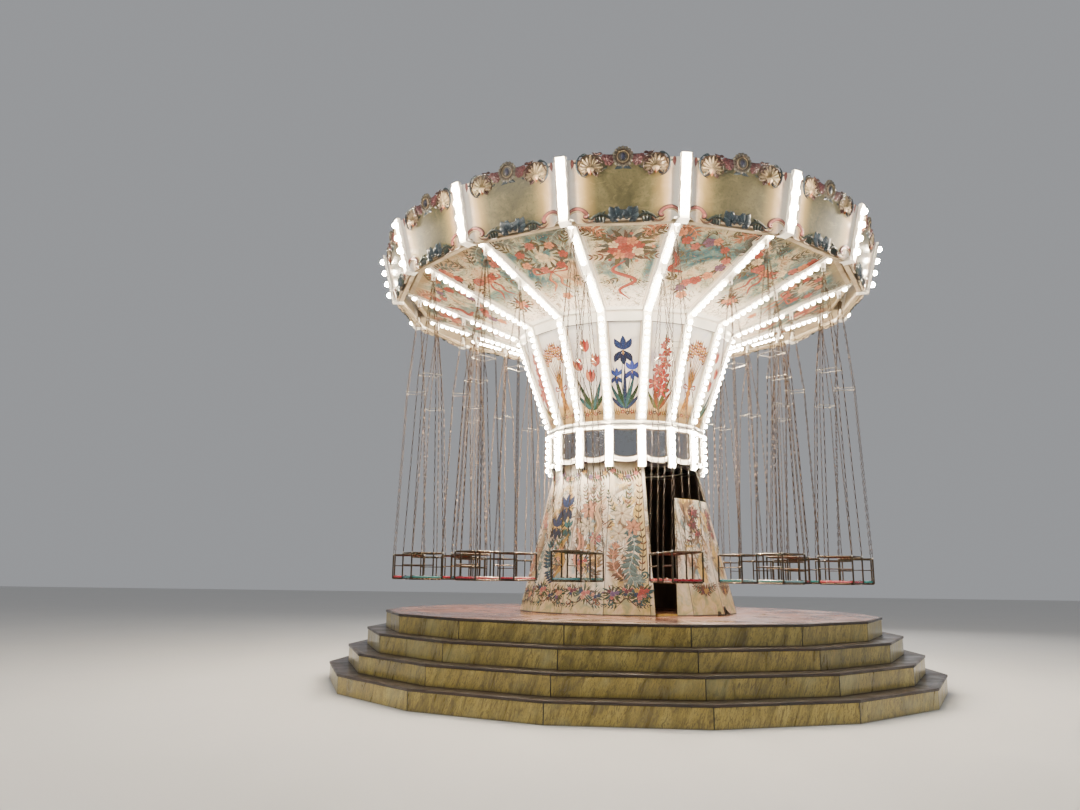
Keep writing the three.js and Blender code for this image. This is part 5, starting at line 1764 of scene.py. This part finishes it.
def tower_picture(kind, top, half_foot, half_top):
    """Flowers from the foot to the top of a tower panel, one of four kinds."""
    pieces = tower_foot(kind, half_foot) + tower_head(kind, half_top, top)
    dark_greens = [FOREST, PEWTER, UMBER, MOSS]
    pieces += strokes((0.0, 1.05), 0.17, 0.50, 40, 0.10, [UMBER, RUST, PEWTER, UMBER, MOSS])
    if kind == 0:
        sweep = [
            (0.02, 1.06), (0.10, 0.90), (0.07, 0.70), (0.03, 0.55),
            (0.09, 0.42), (0.17, 0.44), (0.16, 0.52),
        ]
        pieces += plume(sweep, 0.135, PEWTER, MIST, 20)
        pieces += plume([(-0.03, 0.44), (-0.15, 0.58), (-0.16, 0.80), (-0.08, 0.92)], 0.11, UMBER, PEACH, 13)
        pieces += sprig((-0.02, 1.30), 1.25, 0.44, [UMBER, RUST, MOSS], 0.085, 7, 0.5, 0.008)
        pieces += sprig((-0.12, 1.28), 2.1, 0.30, [UMBER, PEWTER, MOSS], 0.075, 5, -0.5, 0.008)
        pieces += big_blooms(
            RUST, (-0.05, 1.28, 0.150, IVORY), (0.09, 1.10, 0.120, PEACH), (-0.09, 1.02, 0.125, IVORY),
        )
    elif kind == 1:
        cloth = [(0.19, 1.50), (0.06, 1.34), (0.13, 1.12), (0.04, 0.90), (0.13, 0.66)]
        pieces += drape(cloth, 0.070, (0.56, 0.36, 0.20))
        pieces += drape([(-0.19, 1.10), (-0.10, 0.90), (-0.16, 0.68), (-0.05, 0.50)], 0.080, PEACH)
        pieces += plume([(0.11, 0.42), (0.14, 0.62), (0.05, 0.82), (-0.05, 0.86)], 0.105, UMBER, OCHRE, 13)
        pieces += fan_of_sprigs((0.0, 1.34), (1.05, UP, 2.15), 0.34, [UMBER, MOSS, RUST])
        pieces += big_blooms(
            UMBER, (-0.04, 1.34, 0.135, PEACH), (-0.06, 1.12, 0.140, IVORY), (0.08, 0.96, 0.095, PINK),
        )
        pieces += bouquet((-0.08, 0.66), 0.105, [CORAL, OCHRE, LILAC], dark_greens, 5)
    elif kind == 2:
        pieces += plume(
            [(0.0, 0.40), (-0.12, 0.58), (-0.17, 0.84), (-0.08, 1.00)], 0.12, INDIGO, TEAL_GREEN, 14
        )
        cloth = [(0.17, 1.02), (0.06, 0.84), (0.14, 0.64), (0.02, 0.46)]
        pieces += drape(cloth, 0.085, (0.42, 0.24, 0.05), 4)
        pieces += sprig((0.0, 0.72), UP, 0.66, [UMBER, MOSS, FOREST], 0.12, 8, -0.15, 0.014)
        pieces += iris((0.03, 1.38), 0.21, INDIGO, OCHRE)
        pieces += iris((-0.10, 1.12), 0.18, (0.007, 0.016, 0.05), OCHRE)
        pieces += iris((0.12, 1.10), 0.14, TEAL_GREEN, OCHRE)
        pieces += bouquet((0.06, 0.76), 0.120, [OCHRE, PEACH, CORAL], dark_greens, 6, 0.9)
    else:
        pieces += plume(
            [(0.12, 0.38), (0.17, 0.58), (0.16, 0.80), (0.08, 0.94)], 0.105, TEAL_GREEN, MIST, 13
        )
        pieces += plume(
            [(-0.14, 0.38), (-0.19, 0.56), (-0.18, 0.76), (-0.10, 0.90)], 0.105, RUST, PEACH, 13
        )
        pieces += fan_of_sprigs((-0.01, 1.26), (1.0, UP, 2.2), 0.36, [UMBER, MOSS, TEAL_GREEN])
        pieces += big_blooms(
            UMBER, (-0.07, 1.26, 0.120, PEACH), (0.07, 1.32, 0.105, IVORY), (0.0, 1.12, 0.110, PINK),
        )
        pieces += urn(-0.01, 0.62, 0.40, (0.50, 0.34, 0.18), UMBER)
    return pieces


def side_border(low, high):
    """Brown tendril that climbs beside the doorway, with a curl and a flower cluster at its foot."""

    def edge(v):
        return tower_half(v) - 0.055

    line = curve([(edge(v) + 0.018 * math.sin(v * 9), v) for v in np.linspace(low + 0.3, high, 9)], 4)
    pieces = [ribbon(line, (0.014, 0.005, 0.2), UMBER, 0.0014)]
    for i in range(2, len(line) - 1, 2):
        for side in (-1, 1):
            colour = (RUST, UMBER, UMBER)[i // 2 % 3]
            pieces.append(small_leaf(line[i], UP + side, 0.068, 0.032, colour, -side * 0.8))
    u = edge(low + 0.3)
    pieces += bouquet((u - 0.030, low + 0.21), 0.115, [CORAL, RUST, OCHRE], [TEAL_GREEN, FOREST, MOSS], 5)
    for place, size, colour in (
        ((u + 0.005, low + 0.42), 0.052, TEAL_GREEN), ((u - 0.070, low + 0.08), 0.040, PEWTER),
    ):
        curl = curve(spiral(place, size, 0.008, -1.6, 1.2, 9), 3)
        pieces.append(ribbon(curl, (0.026, 0.007, 0.2), colour, 0.002))
    return pieces


canopy_sprays, cone_sprays, tower_sprays = Mesh(), Mesh(), Mesh()
sheet_foot = KINK[1] + PROUD * math.hypot(1, CANOPY_SLOPE)
sheet_panel = Panel(KINK[0], sheet_foot, (1.0, CANOPY_SLOPE / FLAT))
cone_panel = upright_panel(DRUM["radius"] - PROUD, CONE_FOOT, CONE_SLOPE)
for k in range(SECTORS):
    stamp(canopy_sprays, sheet_panel, k, canopy_picture((0, 2, 1, 3)[k % 4]), ink=INK, depth=1.25)
    stamp(cone_sprays, cone_panel, k, cone_picture(k % 4), ink=INK, depth=1.2)
canopy_mesh = canopy_sprays.mesh("canopy_sprays", 60, fix=False)
put("canopy_sprays", canopy_mesh, [MATT_PICTURE], "rotor")
put("cone_sprays", cone_sprays.mesh("cone_sprays", 60, fix=False), [MATT_PICTURE], "rotor")

FIRST_TOWER_PANEL, LAST_TOWER_PANEL = 4, 16
HALF_PANELS = (2, 3)
# Height gained for each metre along the slope of a tower panel
TOWER_RISE = 0.972
tower_panel = upright_panel(TOWER_FOOT, DECK_TOP, TOWER_SLOPE)


def tower_half(v):
    """Half the width of a tower panel at v along its slope."""
    return (TOWER_FOOT + TOWER_SLOPE * v * TOWER_RISE) * math.sin(HALF)


for k in range(FIRST_TOWER_PANEL, LAST_TOWER_PANEL + 1):
    picture = tower_picture((LAST_TOWER_PANEL - k) % 4, 1.90, tower_half(0.2) - 0.02, tower_half(1.9))
    stamp(tower_sprays, tower_panel, k, picture, ink=INK)
stamp(tower_sprays, tower_panel, LAST_TOWER_PANEL, side_border(0.08, 1.72), ink=INK)
for k in HALF_PANELS:
    spray = sprig((0.13, 1.44), -1.85, 0.56, [UMBER, WINE, UMBER, FOREST], 0.115, 8, -0.35, 0.012)
    spray += sprig((0.00, 1.42), -1.30, 0.36, [UMBER, FOREST, WINE], 0.095, 6, 0.3, 0.010)
    for u, v, size in ((0.10, 1.32, 0.095), (0.03, 1.16, 0.085), (0.10, 1.04, 0.065)):
        spray += bouquet((u, v), size, [WINE, PINK, CORAL], [UMBER, WINE, FOREST], 4)
    spray += bouquet((0.02, 0.31), 0.085, [OCHRE, RUST, WINE], [UMBER, FOREST, RUST], 4, 0.6)
    for heading, bend in ((0.15, 0.3), (3.0, -0.3), (0.6, -0.5), (2.5, 0.5)):
        spray += sprig((0.02, 0.30), heading, 0.20, [UMBER, FOREST, RUST], 0.085, 5, bend, 0.011)
    stamp(tower_sprays, tower_panel, k, spray, ink=INK)
put("tower_sprays", tower_sprays.mesh("tower_sprays", 60, fix=False), [PICTURE], "base")


# Chairs

LINK, WIRE = 0.056, 0.0032
# Material numbers of a chair, after 0 for its chains
FRAME, SEAT, FITTINGS = 1, 2, 3


def link_template():
    """One link of a chain, along z."""
    reach, half = LINK / 2 + WIRE, 0.0078
    low, high = 0.008 - reach, reach - 0.008
    middle = [(0, reach), (half, high), (half, low), (0, -reach), (-half, low), (-half, high)]
    return tube([(x, 0.0, z) for x, z in middle], WIRE, 3, closed=True)


LINK_POINTS, LINK_FACES = link_template()


def chain(mesh, start, end, first=0):
    """Links from start to end, each turned a quarter from the last. Gives their number."""
    start, end = np.asarray(start, float), np.asarray(end, float)
    axis = end - start
    length = np.linalg.norm(axis)
    axis /= length
    count = max(2, int(round(length / LINK)))
    side = np.cross(axis, [0, 1, 0])
    side /= np.linalg.norm(side)
    other = np.cross(axis, side)
    copies = []
    for i in range(count):
        x, y = (side, other) if (i + first) % 2 == 0 else (other, -side)
        centre = start + axis * length * (i + 0.5) / count
        copies.append(centre + LINK_POINTS[:, :1] * x + LINK_POINTS[:, 1:2] * y + LINK_POINTS[:, 2:3] * axis)
    mesh.add_many(np.array(copies), LINK_FACES)
    return count


def loop(mesh, wide, deep, radius, steps, z, thick, sides, number):
    """Closed tube round a level rectangle with round corners."""
    line = [(x, y, z) for x, y in rounded(wide, deep, radius, steps)]
    mesh.add(*tube(line, thick, sides, closed=True), number)


def shackle(mesh):
    """Ring, bow, washers, pin, nut and shank at the origin."""
    ring = [(0.016 * math.cos(a), 0.016 * math.sin(a), -0.080) for a in cycle(12)]
    mesh.add(*tube(ring, 0.005, 7, closed=True), FRAME)
    side = [(0.0135, 0.0), (0.0140, -0.030), (0.0125, -0.052), (0.0070, -0.066)]
    line = side + [(0, -0.071)] + [(-y, z) for y, z in side[::-1]]
    mesh.add(*tube([(0, y, z) for y, z in line], 0.0045, 8), FRAME)
    washer = [(0.011, -0.005), (0.012, -0.002), (0.012, 0.002), (0.011, 0.005)]
    for side in (-1, 1):
        mesh.add(*lathe(washer, (0, side * 0.0135, 0), (0, 1, 0), 12), FRAME)
    mesh.add(*tube([(0, -0.021, 0), (0, 0.021, 0)], 0.0075, 10), FITTINGS)
    nut = [(0.0115, 0), (0.0115, 0.006), (0.009, 0.007), (0, 0.007)]
    mesh.add(*lathe(nut, (0, 0.019, 0), (0, 1, 0), 6), FITTINGS)
    mesh.add(*tube([(0, 0, -0.070), (0, 0, -0.086)], 0.006, 8), FRAME)


def chair_mesh(hook_z):
    """Chair with its chains, from the pin at the origin down."""
    mesh = Mesh()
    seat, hoop = SEAT_TOP - hook_z, SPREADER - hook_z
    rail = seat + 0.273
    post_x, post_y = 0.198, 0.158
    rivet = [(0.013, 0), (0.013, 0.006), (0.008, 0.009), (0, 0.010)]
    for side in (-1, 1):
        for front in (-1, 1):
            x, y = side * post_x, front * post_y
            bend = (side * 0.120, front * 0.092, hoop)
            made = chain(mesh, (side * 0.010, front * 0.012, -0.088), bend)
            chain(mesh, bend, (x, y, rail + 0.012), made)
            mesh.add(*tube([(x, y, rail + 0.020), (x, y, rail - 0.004)], 0.0095, 8), FITTINGS)
            mesh.add(*tube([(x, y, seat - 0.030), (x, y, rail)], 0.010, 10), FRAME)
            inside = (side * (post_x - 0.03), front * (post_y - 0.03), seat - 0.001)
            mesh.add(*lathe(rivet, inside, (0, 0, 1), 8), FRAME)
            ring = [
                (bend[0] + 0.011 * math.cos(a), bend[1], bend[2] + 0.011 * math.sin(a))
                for a in cycle(8)
            ]
            mesh.add(*tube(ring, 0.003, 5, closed=True), FITTINGS)
    loop(mesh, 2 * post_x, 2 * post_y, 0.045, 5, rail, 0.0115, 10, FRAME)
    loop(mesh, 2 * post_x - 0.004, 2 * post_y - 0.004, 0.030, 4, seat - 0.034, 0.010, 8, FRAME)
    brace = [(x, -post_y, seat + 0.135) for x in np.linspace(-post_x, post_x, 5)]
    mesh.add(*tube(brace, 0.007, 8), FRAME)
    outline = rounded(0.404, 0.324, 0.035, 5)
    mesh.add(*prism(outline, seat - 0.020, seat, 0.005), SEAT)
    mesh.add(*prism(outline * 0.985, seat - 0.040, seat - 0.021), FRAME)
    for side in (-1, 1):
        lip = [(x, side * 0.150, seat - 0.008) for x in np.linspace(-0.175, 0.175, 7)]
        mesh.add(*tube(lip, 0.010, 10), SEAT)
    loop(mesh, 0.240, 0.184, 0.022, 3, hoop, 0.0042, 7, FITTINGS)
    shackle(mesh)
    return mesh.mesh(f"chair_{hook_z:.3f}", 45)


for row, (radius, height) in HOOKS.items():
    for colour, seat_material in ((0, RED), (1, TEAL)):
        data = chair_mesh(height)
        for k in range(colour, SECTORS, 2):
            angle = (k + 0.5) * SECTOR
            matrix = Matrix.Translation((radius * math.sin(angle), -radius * math.cos(angle), height))
            matrix = matrix @ Matrix.Rotation(angle - math.pi / 2, 4, "Z")
            name = f"chair_{row}_{k + 1:02d}"
            put(
                f"{name}_seat", data, [CHAIN, BRONZE, seat_material, BRIGHT], name,
                [name], matrix,
            )

size = {"cad": cad_box, "visual": [list(corner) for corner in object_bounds()]}
